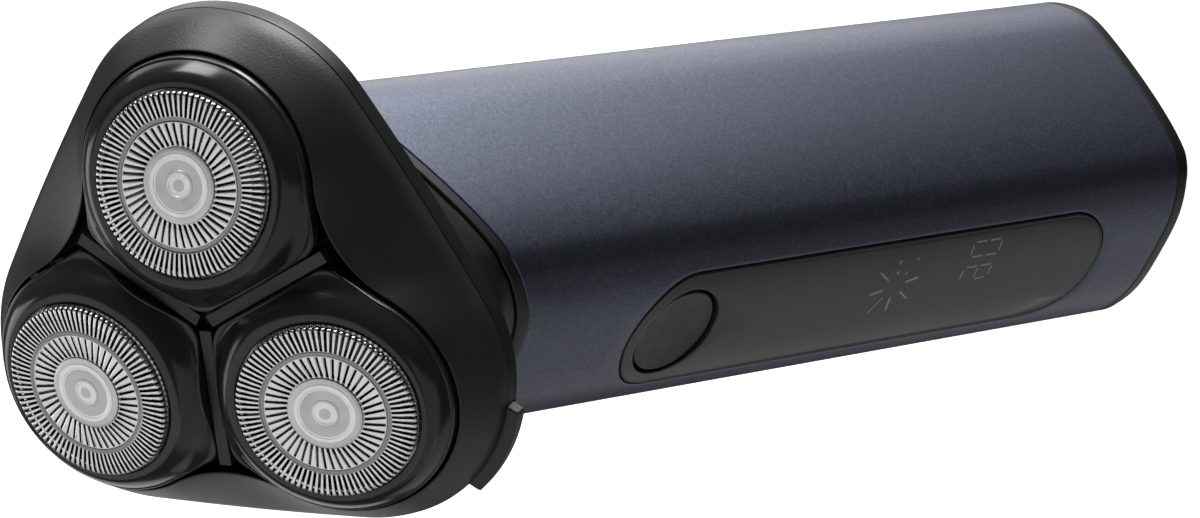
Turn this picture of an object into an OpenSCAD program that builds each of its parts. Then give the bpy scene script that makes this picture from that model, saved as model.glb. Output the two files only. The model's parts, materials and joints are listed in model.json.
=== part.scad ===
// Rotary electric shaver. Millimetres, +Z up the handle, front panel towards -Y.
// The origin is on the flat base that the shaver stands on, under the middle of the handle.

/* [Handle] */
// Width of the handle across its widest line
handle_w = 37; // [35:0.5:41]
// Depth of the handle from the panel to the back
handle_d = 39.7; // [38:0.1:43]
// Half width of the flatter front face, crease to crease
crease_x = 12.4; // [11:0.1:13.5]
// How far in front of the handle axis the creases lie
crease_y = 16.9; // [16.5:0.1:17.5]
// How far behind the handle axis the handle is widest
widest_y = 5.3; // [4:0.1:6.5]
// Wall thickness of the metallic sleeve
sleeve_wall = 1.6; // [1.2:0.1:1.8]
// Height of the base cap below the sleeve
cap_h = 2.2; // [1.8:0.1:3]

/* [Head] */
// Height of the middle of the shaving plane above the base
head_z = 156; // [154:0.5:162]
// How far the middle of the shaving plane sits in front of the handle axis
head_y = 6.9; // [6:0.1:8]
// Tilt of the head towards the front
head_tilt = 24.7; // [22:0.1:26]
// Distance of each cutter from the middle of the head
pod_pitch = 17; // [17:0.1:17.4]
// Outward tilt of each cutter
pod_tilt = 9.2; // [8:0.1:10]
// Distance of the lobes' own centres from the middle of the head
lobe_pitch = 14.8; // [14.5:0.1:15.2]
// Radius of each lobe of the head
lobe_r = 18.8; // [18.5:0.1:19.2]
// Distance of the middle of each long side from the middle of the head
side_r = 26.5; // [26.3:0.1:27]
// Depth of the seam below the shaving plane
seam_d = 11; // [11:0.1:11.5]
// Height of the rim under the seam
rim_h = 2.7; // [2.5:0.1:3]

/* [Cutters] */
// Radius of the slotted guard that shows
guard_r = 10.4; // [10.2:0.05:10.5]
// Radius of the plain disc in the middle of a guard
guard_cap_r = 4.35; // [4:0.05:4.6]
// Number of blades on each cutter
blade_count = 15; // [9:1:18]

/* [Drive] */
// Teeth on the motor pinion
pinion_teeth = 21; // [19:1:23]
// Teeth on the pinion and a drive gear together
tooth_sum = 65; // [65:1:65]
// Tooth module
tooth_module = 0.5; // [0.5:0.01:0.5]
// Radius of the motor can
motor_r = 10; // [9.5:0.1:10]
// Length of the motor can
motor_l = 19.2; // [17:0.1:19.5]

/* [Panel] */
// Width of the panel set into the front face
panel_w = 16.8; // [16:0.1:18]
// Height of the panel's lower end above the base
panel_low = 14; // [12:0.5:18]
// Height of the panel's upper end above the base
panel_high = 99.4; // [98:0.1:101]
// Radius of the power button
button_r = 6; // [5.5:0.1:6.4]
// Travel of the power button
button_travel = 0.5; // [0.3:0.05:0.6]

/* [Hidden] */

$fn = 64;
eps = 0.01;
far = 100;

// Directions of the three cutters in the head's plane: front, back right, back left
pod_angle = [-90, 30, 150];
// Directions of the middles of the head's long sides
side_angle = [-30, 90, 210];

// Levels in the head, as depths below the shaving plane
rib_top_d = 1;
saddle_top_d = 4.3;
lid_floor_d = 8;
lid_floor_low_d = 9.2;
chamber_top_d = seam_d + 0.1;
chamber_floor_d = 12.5;
rim_low_d = seam_d + rim_h;
gear_top_d = 14;
gear_low_d = 15.7;
plate_top_d = 16.2;
plate_low_d = 17.4;
motor_low_d = plate_low_d + motor_l;
collar_top_d = 25.2;
sleeve_top_d = 26.9;
spigot_low_d = 31;

// Drive: gear centre distance, and the depth on a cutter's axis where it meets a spindle's axis
gear_teeth = tooth_sum - pinion_teeth;
gear_pitch = tooth_sum * tooth_module / 2;
pivot_d = (pod_pitch - gear_pitch) / sin(pod_tilt);
// Half angles, in tooth steps, and heights of a tooth's root and tip about the pitch circle
tooth_root = [0.3, -0.58];
tooth_tip = [0.12, 0.42];
// Spindle: post above the gear, foot below it, and the hexagons across their flats
post_r = 1.5;
post_top_d = 9;
foot_r = 1.1;
foot_low_d = 18.6;
hex_af = 3;
tip_af = 2.6;
socket_af = 4.2;
// Sliding cap on the post, its hexagonal tip, and the spring under it
slider_r = 2.3;
slider_top_d = 6.9;
slider_low_d = 10.9;
tip_l = 3.5;
spring_r = 2.02;
spring_wire_r = 0.2;
spring_step = 0.47;
spring_turns = 3;
// Motor: shaft, can, magnets and windings
shaft_r = 1;
shaft_af = 1.7;
can_wall = 0.8;
magnet_t = 1.2;
rotor_gap = 0.5;
stack_l = 12;
motor_screw_x = 6;
motor_boss_r = 3;
// Plate under the gears: screws on the long sides of the head, and foot bearings
screw_ring_r = 18.6;
screw_boss_r = 2.2;
plate_r = 21.2;
bearing_r = 2.4;
bearing_low_d = 19.2;
bearing_gap = 0.2;

// Pods: outline, depth, and the ears they rock on
pod_r = 13.7;
half_gap = 0.9;
skirt = 4.8;
// Half section of a pod's crown: level lip, round shoulder, then a shallow slope to the corners
crown = [[0, 0], [11.4, 0], [12.4, -0.5], [13.3, -1.6], [pod_r, -2.7], [15.4, -3.3], [18, -3.9]];
ear_relief = [6.6, 12, -3.4];
ear_y = 13.2;
ear_w = 1.4;
ear_r = 1.1;
ear_gap = 0.3;
// Guards: height above the pod's frame, thickness, flange under the pod's lip, and groove
guard_top = 0.9;
guard_skin = 0.6;
guard_wall = 0.35;
guard_edge = 0.5;
flange_r = guard_r + 0.85;
flange_low = -3.4;
flange_top = -2.8;
groove = [7.05, 7.6];
groove_depth = 0.25;
// Cutters: hub, disc, and the radii of the inner and outer blades
hub_r = 3.2;
hub_low = -5;
hub_top = -0.8;
disc_r = 9.5;
disc_low = -2.4;
disc_t = 0.7;
blade_t = 0.6;
blade_top = 0.05;
blade_spans = [[4.8, 6.8], [7.7, 9.4]];

// Handle insides: circuit board, switch behind the button, battery, and base
fit_gap = 0.1;
frame_wall = 1.5;
chassis_low = 7.2;
chassis_high = 112;
chassis_front_y = -13.5;
board_y = -12.4;
board_t = 1.6;
board_w = 23.2;
board_low = 3;
board_high = 106;
board_back_y = board_y + board_t;
board_screw_x = 9.7;
board_screw_z = [20, 74];
ledge_low = 9;
ledge_w = 5.9;
ledge_t = 1.8;
button_z = panel_high - panel_w / 2 + 0.3;
button_face_y = -19.35;
button_back_y = -17.9;
button_gap = 0.3;
stem_r = 1.6;
stem_end_y = -16.95;
seal_r = 7;
seal_span = [-16.9, -16.3];
switch_w = 6;
switch_top_y = -15.9;
switch_well = 0.9;
plunger_r = 1.5;
panel_t = 2;
panel_gap = 0.15;
display_size = [12, 4.8, 34];
display_at = [-6, -17.2, 30];
cell_r = 9.15;
cell_y = 3.2;
cell_low = 24;
cell_high = 88;
cell_lip = 1;
cell_button_r = 3.4;
saddle_z = [30, 78];
saddle_h = 4;
tab_w = 6;
tab_t = 0.25;
lead_r = 0.6;
base_screw_at = [13.6, 8];
base_boss_r = 2.2;
base_boss_h = 8;
skirt_top = 6;
gasket_h = 1;
usb_size = [8.94, 3.26];
usb_l = 7.3;
usb_wall = 0.32;
usb_set_back = 0.6;
usb_tongue = [6.6, 0.7, 5.6];

// Hair chamber under the lid
chamber_wall = 1.8;
seal_ring_r = 3;
seal_gap = 0.25;

// Hinge of the lid, in the head's own frame
hinge_y = 25.4;
hinge_d = 12.4;
knuckle_r = 1.3;
knuckle_x = 3.8;
knuckle_gap = 0.25;
lug_x = 8;
hinge_pin_r = 0.55;
hinge_pin_gap = 0.15;
hinge_relief_r = 1.32;

// Release button in the rim, in the head's own frame
release_w = 11.4;
release_proud = 1.4;
release_gap = 0.25;
release_d = [11.15, 13.05];
release_inner = 29.6;
pocket_inner = 28.2;

// Point at t on the cubic curve with the control points p
function bezier(p, t) =
    pow(1 - t, 3) * p[0] + 3 * t * pow(1 - t, 2) * p[1] + 3 * t * t * (1 - t) * p[2] + pow(t, 3) * p[3];

// Right half of the handle's outline, from the middle of the front round to the middle of the back
half_w = handle_w / 2;
half_d = handle_d / 2;
flank_reach = 3.2;
back_reach = 8.85;
front_curve = [[0, -half_d], [0.45 * crease_x, -half_d], [0.61 * crease_x, 0.2 - half_d],
    [crease_x, -crease_y]];
flank_curve = [[crease_x, -crease_y], [crease_x + flank_reach, flank_reach - crease_y],
    [half_w, widest_y - flank_reach], [half_w, widest_y]];
back_curve = [[half_w, widest_y], [half_w, widest_y + back_reach], [half_w / 2, half_d], [0, half_d]];
front_steps = 6;
flank_steps = 10;
back_steps = 12;
half_outline = concat(
    [for (i = [0:front_steps - 1]) bezier(front_curve, i / front_steps)],
    [for (i = [0:flank_steps - 1]) bezier(flank_curve, i / flank_steps)],
    [for (i = [0:back_steps]) bezier(back_curve, i / back_steps)]);
half_count = len(half_outline);
// The whole outline, anticlockwise from the middle of the front, with the left half mirrored
outline = concat(half_outline,
    [for (i = [half_count - 2:-1:1]) [-half_outline[i][0], half_outline[i][1]]]);
// The outline brought in by a wall thickness
function inset_outline(t) =
    [for (p = outline) [p[0] * (1 - t / half_w), p[1] * (1 - t / half_d)]];

// Angle from the nearest cutter direction, 0 to 60
function lobe_angle(a) = abs((a + 90 + 60) % 120 - 60);

// Radius of the head's outline in direction a: three lobes joined by long flat arcs
lobe_side = [lobe_pitch * cos(60), lobe_pitch * sin(60)];
side_gap = side_r - lobe_side[0];
side_arc_r = (pow(side_gap, 2) + pow(lobe_side[1], 2) - pow(lobe_r, 2)) / (2 * (side_gap - lobe_r));
side_arc_x = side_r - side_arc_r;
lobe_turn = 60 - atan2(lobe_side[1], lobe_side[0] - side_arc_x);
lobe_end = [lobe_pitch + lobe_r * cos(lobe_turn), lobe_r * sin(lobe_turn)];
lobe_end_angle = atan2(lobe_end[1], lobe_end[0]);
function head_r(a) = let (f = lobe_angle(a), s = 60 - f)
    f < lobe_end_angle
    ? lobe_pitch * cos(f) + sqrt(pow(lobe_r, 2) - pow(lobe_pitch * sin(f), 2))
    : side_arc_x * cos(s) + sqrt(pow(side_arc_r, 2) - pow(side_arc_x * sin(s), 2));

// Radius of the opening around the pods in direction a: three arcs with a round nose between each pair
opening_pitch = 16.3;
opening_r = 14.2;
nose_r = 18.6;
opening_side = [opening_pitch * cos(60), opening_pitch * sin(60)];
nose_gap = nose_r - opening_side[0];
nose_arc_r = (pow(nose_gap, 2) + pow(opening_side[1], 2) - pow(opening_r, 2)) / (2 * (opening_r - nose_gap));
nose_x = nose_r + nose_arc_r;
nose_mix = opening_r / (opening_r + nose_arc_r);
nose_end = opening_side + nose_mix * ([nose_x, 0] - opening_side);
nose_end_angle = atan2(nose_end[1], nose_end[0]);
function open_r(a) = let (f = lobe_angle(a), s = 60 - f)
    s > nose_end_angle
    ? opening_pitch * cos(f) + sqrt(pow(opening_r, 2) - pow(opening_pitch * sin(f), 2))
    : nose_x * cos(s) - sqrt(pow(nose_arc_r, 2) - pow(nose_x * sin(s), 2));
// Depth of the opening's edge in direction a: level at the noses, then falling with the tilt of the pods
nose_d = 2.8;
function open_d(a) = let (reach = open_r(a) * cos(lobe_angle(a)) - pod_pitch)
    nose_d + tan(pod_tilt) * (reach + sqrt(reach * reach + 4)) / 2;

function polar(r, a) = [r * cos(a), r * sin(a)];
module trefoil(inset) polygon([for (a = [0:2.5:357.5]) polar(head_r(a) - inset, a)]);

// The head's own frame: origin in the middle of the shaving plane, +Z out of it, -Y to the front
module at_head() translate([0, -head_y, head_z]) rotate([head_tilt, 0, 0]) children();
// Between two depths in the head
module at_depth(top, low) at_head() translate([0, 0, -low]) linear_extrude(low - top) children();
// A spindle's axis, and a pod's own frame with +Z out of its guard and +X away from the middle
module at_spindle(i) at_head() rotate([0, 0, pod_angle[i]]) translate([gear_pitch, 0, 0]) children();
module at_pod(i) at_head() rotate([0, 0, pod_angle[i]]) translate([pod_pitch, 0, 0]) rotate([0, pod_tilt, 0])
    children();
module ring(r_out, r_in, low, high) translate([0, 0, low]) difference() {
    cylinder(r = r_out, h = high - low);
    translate([0, 0, -eps]) cylinder(r = r_in, h = high - low + 2 * eps);
}
module hexagon(af) circle(d = af / cos(30), $fn = 6);

// Solid prism of the handle's outline between two heights
module handle_prism(t, low, high) translate([0, 0, low]) linear_extrude(high - low) polygon(inset_outline(t));
module handle_tube(t_out, t_in, low, high) difference() {
    handle_prism(t_out, low, high);
    handle_prism(t_in, low - eps, high + eps);
}
// Everything above the slanting end of the handle at a depth, which dips across the front face
dip = 2.4;
dip_r = (crease_x * crease_x + dip * dip) / (2 * dip);
module above_cut(d) at_head() {
    translate([-far / 2, -far / 2, -d]) cube([far, far, far]);
    translate([0, -10, dip_r - d - dip]) rotate([90, 0, 0]) cylinder(r = dip_r, h = far / 3, $fn = 128);
}
// Round-ended bar through the front wall
module panel_bar(grow) intersection() {
    translate([-far / 2, -far + board_y, 0]) cube([far, far, 2 * far]);
    for (z = [panel_low + panel_w / 2, panel_high - panel_w / 2]) translate([0, 0, z])
        rotate([90, 0, 0]) cylinder(r = panel_w / 2 + grow, h = far, $fn = 96);
}
module panel_slot(grow) {
    panel_bar(grow);
    translate([-panel_w / 2 - grow, -far, panel_low + panel_w / 2])
        cube([panel_w + 2 * grow, far + board_y, panel_high - panel_low - panel_w]);
}

module handle_sleeve() color([0.17, 0.19, 0.25]) difference() {
    handle_tube(0, sleeve_wall, cap_h, head_z);
    above_cut(sleeve_top_d);
    panel_slot(panel_gap);
}

usb_at = [0, board_back_y + usb_size[1] / 2];
module stadium(w, h) {
    for (x = [-1, 1]) translate([x * (w - h) / 2, 0]) circle(d = h);
    square([w - h, h], center = true);
}
module both_sides(x, y) for (side = [-1, 1]) translate([side * x, y, 0]) children();
module base_cap() color([0.06, 0.06, 0.07]) difference() {
    union() {
        handle_prism(0, 0, cap_h);
        handle_tube(sleeve_wall + fit_gap, sleeve_wall + frame_wall + fit_gap, cap_h - eps, skirt_top);
    }
    translate([usb_at[0], usb_at[1], -1]) linear_extrude(10) stadium(usb_size[0] + 0.46, usb_size[1] + 0.44);
    both_sides(base_screw_at[0], base_screw_at[1]) translate([0, 0, -1]) {
        cylinder(r = 2.2, h = 2.2);
        cylinder(r = 1.1, h = 5);
    }
}
module base_gasket() color([0.1, 0.1, 0.1]) 
    handle_tube(sleeve_wall, sleeve_wall + frame_wall, skirt_top, skirt_top + gasket_h);
// Cross-headed screw with its tip towards +Z and the top of its head at the origin
module screw(head_r, head_h, shank_r, shank_l) difference() {
    union() {
        cylinder(r = head_r, h = head_h);
        translate([0, 0, head_h - eps]) cylinder(r = shank_r, h = shank_l);
    }
    for (a = [0, 90]) rotate([0, 0, a]) translate([0, 0, -eps]) linear_extrude(0.6 * head_h)
        square([0.3 * head_r, 1.3 * head_r], center = true);
}
module base_screws() color([0.7, 0.7, 0.72]) both_sides(base_screw_at[0], base_screw_at[1])
    translate([0, 0, 0.3]) screw(1.95, 0.9, 0.9, 11);

module board_ledges() intersection() {
    handle_prism(sleeve_wall + 0.6, ledge_low, board_high);
    for (x = [-1, 1]) translate([x * (board_w / 2 + 2.9) - ledge_w, board_back_y, ledge_low])
        cube([2 * ledge_w, ledge_t, board_high - ledge_low]);
}
// Bridge that the battery cell snaps into from the front
module cell_saddle(z) difference() {
    intersection() {
        handle_prism(sleeve_wall + 0.6, z, z + saddle_h);
        translate([-far / 2, -6, z]) cube([far, far, saddle_h]);
    }
    translate([0, cell_y, z - 1]) cylinder(r = cell_r + 0.15, h = saddle_h + 2);
    translate([cell_lip - cell_r, -far + cell_y, z - 1]) cube([2 * (cell_r - cell_lip), far, saddle_h + 2]);
}
module at_board_screws() for (x = [-1, 1], z = board_screw_z)
    translate([x * board_screw_x, board_y, z]) rotate([-90, 0, 0]) children();
module inner_chassis() color([0.75, 0.75, 0.72]) difference() {
    union() {
        difference() {
            handle_tube(sleeve_wall + fit_gap, sleeve_wall + frame_wall, chassis_low, chassis_high);
            translate([-far / 2, -far + chassis_front_y, 0]) cube([far, far, 2 * far]);
        }
        board_ledges();
        for (z = saddle_z) cell_saddle(z);
        both_sides(base_screw_at[0], base_screw_at[1]) translate([0, 0, chassis_low])
            cylinder(r = base_boss_r, h = base_boss_h);
    }
    both_sides(base_screw_at[0], base_screw_at[1]) translate([0, 0, chassis_low - 1])
        cylinder(r = 0.95, h = base_boss_h);
    at_board_screws() translate([0, 0, -1]) cylinder(r = 0.8, h = 6);
}

module top_collar() color([0.07, 0.07, 0.08]) {
    difference() {
        intersection() {
            handle_tube(0, sleeve_wall + frame_wall, panel_high, head_z);
            above_cut(sleeve_top_d);
        }
        above_cut(collar_top_d);
    }
    difference() {
        intersection() {
            handle_tube(sleeve_wall + fit_gap, sleeve_wall + frame_wall, panel_high, head_z);
            above_cut(spigot_low_d);
        }
        above_cut(sleeve_top_d - eps);
    }
}

module front_panel() color([0.09, 0.09, 0.1]) difference() {
    intersection() {
        handle_tube(0, panel_t, panel_low - 1, panel_high + 1);
        panel_slot(0);
    }
    button_disc(button_r + button_gap, -half_d - 1, board_y);
}
module display_module() color([0.2, 0.2, 0.22]) translate(display_at) cube(display_size);
module button_disc(r, front, back) translate([0, back, button_z]) rotate([90, 0, 0])
    cylinder(r = r, h = back - front);
module power_button() color([0.05, 0.05, 0.06]) {
    button_disc(button_r, button_face_y, button_back_y);
    button_disc(stem_r, button_back_y - eps, stem_end_y);
}
module button_seal() color([0.12, 0.12, 0.12]) difference() {
    button_disc(seal_r, seal_span[0], seal_span[1]);
    button_disc(stem_r + button_travel, seal_span[0] - 1, seal_span[1] + 1);
}
module tact_switch() color([0.15, 0.15, 0.16]) difference() {
    translate([-switch_w / 2, switch_top_y, button_z - switch_w / 2])
        cube([switch_w, board_y - switch_top_y, switch_w]);
    button_disc(plunger_r + 0.2, switch_top_y - 1, switch_top_y + switch_well);
}
module switch_plunger() color([0.8, 0.3, 0.2])
    button_disc(plunger_r, stem_end_y, switch_top_y + switch_well - 0.2 - button_travel);

module main_board() color([0.05, 0.3, 0.15]) difference() {
    translate([-board_w / 2, board_y, board_low]) cube([board_w, board_t, board_high - board_low]);
    at_board_screws() translate([0, 0, -1]) cylinder(r = 0.95, h = board_t + 2);
}
module board_screws() color([0.7, 0.7, 0.72]) at_board_screws() translate([0, 0, -0.8])
    screw(1.3, 0.8, 0.75, 3.3);
module usb_port() color([0.8, 0.8, 0.82]) translate([usb_at[0], usb_at[1], usb_set_back]) {
    difference() {
        linear_extrude(usb_l) stadium(usb_size[0], usb_size[1]);
        translate([0, 0, -1]) linear_extrude(usb_l)
            stadium(usb_size[0] - 2 * usb_wall, usb_size[1] - 2 * usb_wall);
    }
    translate([-usb_tongue[0] / 2, -usb_tongue[1] / 2, usb_l - 0.7 - usb_tongue[2]]) cube(usb_tongue);
}
module battery_cell() color([0.2, 0.45, 0.7]) translate([0, cell_y, 0]) {
    translate([0, 0, cell_low]) cylinder(r = cell_r, h = cell_high - cell_low);
    translate([0, 0, cell_high - eps]) cylinder(r = cell_button_r, h = 1);
}
module battery_tabs() color([0.8, 0.8, 0.78]) for (z = [cell_low - tab_t, cell_high + 1])
    translate([-tab_w / 2, board_back_y, z]) cube([tab_w, cell_y + 3 - board_back_y, tab_t]);

// A straight round wire between two points
module wire(from, to, r) let (v = to - from) translate(from)
    rotate([0, acos(v[2] / norm(v)), atan2(v[1], v[0])]) cylinder(r = r, h = norm(v));
module motor_leads() color([0.7, 0.1, 0.1]) for (x = [-1, 1])
    wire([x * 4, board_back_y + 0.9, board_high - 3], [x * 4.6, 7.8, 117.2], lead_r);

module motor_can() color([0.72, 0.73, 0.75]) at_head() difference() {
    union() {
        translate([0, 0, -motor_low_d]) cylinder(r = motor_r, h = motor_l);
        translate([0, 0, -plate_low_d - eps]) cylinder(r = motor_boss_r, h = 1);
    }
    translate([0, 0, -motor_low_d - can_wall]) cylinder(r = motor_r - can_wall, h = motor_l);
    translate([0, 0, -motor_low_d]) cylinder(r = shaft_r + bearing_gap, h = far);
    both_sides(motor_screw_x, 0) translate([0, 0, -plate_low_d - 1.5]) cylinder(r = 0.7, h = 3);
}
module motor_magnets() color([0.25, 0.25, 0.27]) at_head() difference() {
    ring(motor_r - can_wall, motor_r - can_wall - magnet_t, 1.5 - motor_low_d, 2.5 + stack_l - motor_low_d);
    translate([-2.5, -far / 2, -motor_low_d]) cube([5, far, motor_l]);
}
module motor_armature() color([0.7, 0.4, 0.2]) at_head() {
    ring(motor_r - can_wall - magnet_t - rotor_gap, shaft_r, 2 - motor_low_d, 2 + stack_l - motor_low_d);
    ring(3, shaft_r, 0.5 - motor_low_d, 2 + eps - motor_low_d);
}
module motor_shaft() color([0.8, 0.8, 0.82]) at_head() {
    translate([0, 0, -motor_low_d - 1.2]) cylinder(r = shaft_r, h = motor_low_d + 1.2 - gear_low_d);
    translate([0, 0, -gear_low_d - eps]) linear_extrude(gear_low_d - gear_top_d + eps) hexagon(shaft_af);
}
module motor_end_bell() color([0.9, 0.9, 0.88]) at_head() difference() {
    union() {
        translate([0, 0, -motor_low_d - 1.8]) cylinder(r = motor_r - 1.2, h = 1.8);
        both_sides(5, 0) translate([-1, -0.2, -motor_low_d - 3]) cube([2, 0.4, 1.3]);
    }
    translate([0, 0, -motor_low_d - 1.4]) cylinder(r = shaft_r + bearing_gap, h = 3);
}

// Outline of a spur gear with straight flanks and a hexagonal bore
tooth = [[-tooth_root[0], tooth_root[1]], [-tooth_tip[0], tooth_tip[1]], tooth_tip, tooth_root];
module gear(teeth, bore_af) let (r = teeth * tooth_module / 2, step = 360 / teeth) difference() {
    polygon([for (k = [0:teeth - 1], c = tooth) polar(r + c[1], (k + c[0]) * step)]);
    hexagon(bore_af);
}
module motor_pinion() color([0.85, 0.85, 0.8]) at_depth(gear_top_d, gear_low_d) gear(pinion_teeth, shaft_af);
// Turn of gear i that puts a gap opposite the pinion's tooth
function gear_turn(i) = let (a = pod_angle[i] + 360, step = 360 / pinion_teeth)
    180 + (a - step * floor(a / step)) * pinion_teeth / gear_teeth - 180 / gear_teeth;
module at_gear(i) at_spindle(i) translate([0, 0, -gear_low_d]) linear_extrude(gear_low_d - gear_top_d)
    rotate(gear_turn(i)) children();
module drive_gear(i) color([0.93, 0.93, 0.9]) at_gear(i) gear(gear_teeth, hex_af);
module spindle(i) color([0.75, 0.75, 0.78]) {
    at_gear(i) hexagon(hex_af);
    at_spindle(i) {
        translate([0, 0, -foot_low_d]) cylinder(r = foot_r, h = foot_low_d - gear_low_d + eps);
        translate([0, 0, -gear_top_d - eps]) cylinder(r = post_r, h = gear_top_d - post_top_d + eps);
    }
}
module drive_head(i) color([0.9, 0.9, 0.86]) at_spindle(i) {
    difference() {
        translate([0, 0, -slider_low_d]) cylinder(r = slider_r, h = slider_low_d - slider_top_d);
        translate([0, 0, -slider_low_d - 1])
            cylinder(r = post_r + 0.05, h = slider_low_d - slider_top_d - 0.3);
    }
    translate([0, 0, -slider_top_d - eps]) linear_extrude(tip_l) hexagon(tip_af);
}
module spindle_spring(i) color([0.7, 0.7, 0.72]) at_spindle(i) for (k = [1:spring_turns])
    translate([0, 0, -slider_low_d - (k - 0.45) * spring_step]) rotate_extrude($fn = 32)
        translate([spring_r, 0]) circle(r = spring_wire_r, $fn = 16);

// Round holes or posts on the spindle axes, the screw ring and the motor's screws
module at_spindles() for (a = pod_angle) rotate([0, 0, a]) translate([gear_pitch, 0, 0]) children();
module at_screw_ring() for (a = side_angle) rotate([0, 0, a]) translate([screw_ring_r, 0, 0]) children();
module gear_plate() color([0.82, 0.82, 0.8]) at_head() {
    difference() {
        translate([0, 0, -plate_low_d]) cylinder(r = plate_r, h = plate_low_d - plate_top_d, $fn = 96);
        translate([0, 0, -far]) {
            cylinder(r = motor_boss_r + bearing_gap, h = far);
            both_sides(motor_screw_x, 0) cylinder(r = 0.9, h = far);
            at_screw_ring() cylinder(r = 1, h = far);
            at_spindles() cylinder(r = foot_r + bearing_gap, h = far);
        }
    }
    at_spindles() translate([0, 0, -bearing_low_d]) difference() {
        cylinder(r = bearing_r, h = bearing_low_d - plate_low_d + eps);
        translate([0, 0, 0.5]) cylinder(r = foot_r + bearing_gap, h = 3);
    }
}
module plate_screws() color([0.7, 0.7, 0.72]) at_head() {
    at_screw_ring() translate([0, 0, -plate_low_d - 0.9]) screw(1.8, 0.9, 0.9, 3.4);
    both_sides(motor_screw_x, 0) rotate([180, 0, 0]) translate([0, 0, plate_top_d - 0.2])
        screw(0.85, 0.3, 0.65, 2.1);
}

// How far the handle's slanting end drops at point p of its outline
function end_drop(p) = p[1] < 0 && abs(p[0]) < crease_x ? sqrt(dip_r * dip_r - p[0] * p[0]) - dip_r + dip : 0;
// Where the handle's wall at point p of its outline crosses the head's plane at depth d
function handle_at(p, d) = [p[0], (p[1] + head_y) / cos(head_tilt) - d * tan(head_tilt)];
// Ring of the neck at depth d, brought in by t: the handle's outline swelling into the head's
function neck_ring(d, t) = let (s = (collar_top_d - d) / (collar_top_d - rim_low_d), w = pow(s, 1.5),
    walls = inset_outline(0.3 * (1 - s) + t))
    [for (o = walls) let (low = d + end_drop(o) * (1 - s), p = handle_at(o, low),
        a = atan2(p[1] + 3, p[0]), q = polar(head_r(a) - 0.2 - t, a))
        [p[0] * (1 - w) + q[0] * w, p[1] * (1 - w) + q[1] * w, -low]];
neck_steps = 7;
function neck_depth(k) = collar_top_d + (rim_low_d - collar_top_d) * k / neck_steps;
neck_wall = 1.4;
module neck_shell() color([0.06, 0.06, 0.07]) at_head() {
    n = len(outline);
    rings = concat([for (k = [0:neck_steps]) neck_ring(neck_depth(k), 0)],
        [for (k = [neck_steps:-1:0]) neck_ring(neck_depth(k), neck_wall)]);
    polyhedron([for (r = rings, p = r) p],
        [for (k = [0:len(rings) - 1], j = [0:n - 1]) let (m = (k + 1) % len(rings), i = (j + 1) % n)
            each [[k * n + j, m * n + i, k * n + i], [k * n + j, m * n + j, m * n + i]]]);
}

module release_plan(grow, inner) intersection() {
    translate([0, -lobe_pitch]) circle(r = lobe_r + release_proud, $fn = 128);
    translate([-release_w / 2 - grow, -far]) square([release_w + 2 * grow, far - inner]);
}
// Round bar along the hinge's axis
module hinge_bar(r, from, to) at_head() translate([from, hinge_y, -hinge_d]) rotate([0, 90, 0])
    cylinder(r = r, h = to - from);
module hair_chamber() color([0.1, 0.1, 0.11]) difference() {
    union() {
        at_depth(chamber_top_d, rim_low_d) trefoil(0);
        at_head() at_screw_ring() translate([0, 0, -plate_top_d])
            cylinder(r = screw_boss_r, h = plate_top_d - rim_low_d + eps);
        hinge_bar(knuckle_r, -lug_x, lug_x);
    }
    at_depth(0, chamber_floor_d) trefoil(chamber_wall);
    hinge_bar(hinge_pin_r, -lug_x - 1, lug_x + 1);
    at_head() {
        translate([0, 0, -far]) at_spindles() cylinder(r = seal_ring_r, h = far);
        translate([0, 0, -far]) at_screw_ring() cylinder(r = 0.9, h = far - rim_low_d + 0.4);
        translate([-knuckle_x - knuckle_gap, hinge_y - knuckle_r - 0.35, -hinge_d - knuckle_r - 0.35])
            cube([2 * (knuckle_x + knuckle_gap), 6, 6]);
        difference() {
            translate([-2 * lug_x, hinge_y, -hinge_d]) cube([4 * lug_x, 3, 3]);
            translate([-2 * lug_x - 1, hinge_y, -hinge_d]) rotate([0, 90, 0])
                cylinder(r = hinge_relief_r, h = 4 * lug_x + 2);
        }
        translate([0, 0, -release_d[1] - release_gap]) linear_extrude(4)
            release_plan(release_gap, pocket_inner);
    }
}
module spindle_seals() color([0.12, 0.12, 0.12]) at_head() at_spindles()
    ring(seal_ring_r, post_r + seal_gap, -rim_low_d, -chamber_floor_d);
module hinge_pin() color([0.75, 0.75, 0.78]) hinge_bar(hinge_pin_r, -lug_x, lug_x);
module release_button() color([0.08, 0.08, 0.09]) at_depth(release_d[0], release_d[1])
    release_plan(0, release_inner);

// Section of the lid, brought in by t: up the side wall, over a round shoulder, and in a shallow bow
// to the edge of the opening
lid_wall = 1.6;
shoulder_d = 9.3;
shoulder_in = 0.8;
shoulder_drop = 0.5;
lid_bow = 0.05;
lid_steps = 4;
function lid_section(a, t) = let (r = head_r(a) - t, e = open_r(a), d = open_d(a) + t,
    from = [r - shoulder_in, -shoulder_d - 0.5 * t], to = [e + 0.1 * t, -d], run = to - from)
    concat([[r, -seam_d], [r, from[1] - shoulder_drop]],
        [for (k = [0:lid_steps]) from + run * k / lid_steps
            + lid_bow * sin(180 * k / lid_steps) * [run[1], -run[0]]]);
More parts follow.
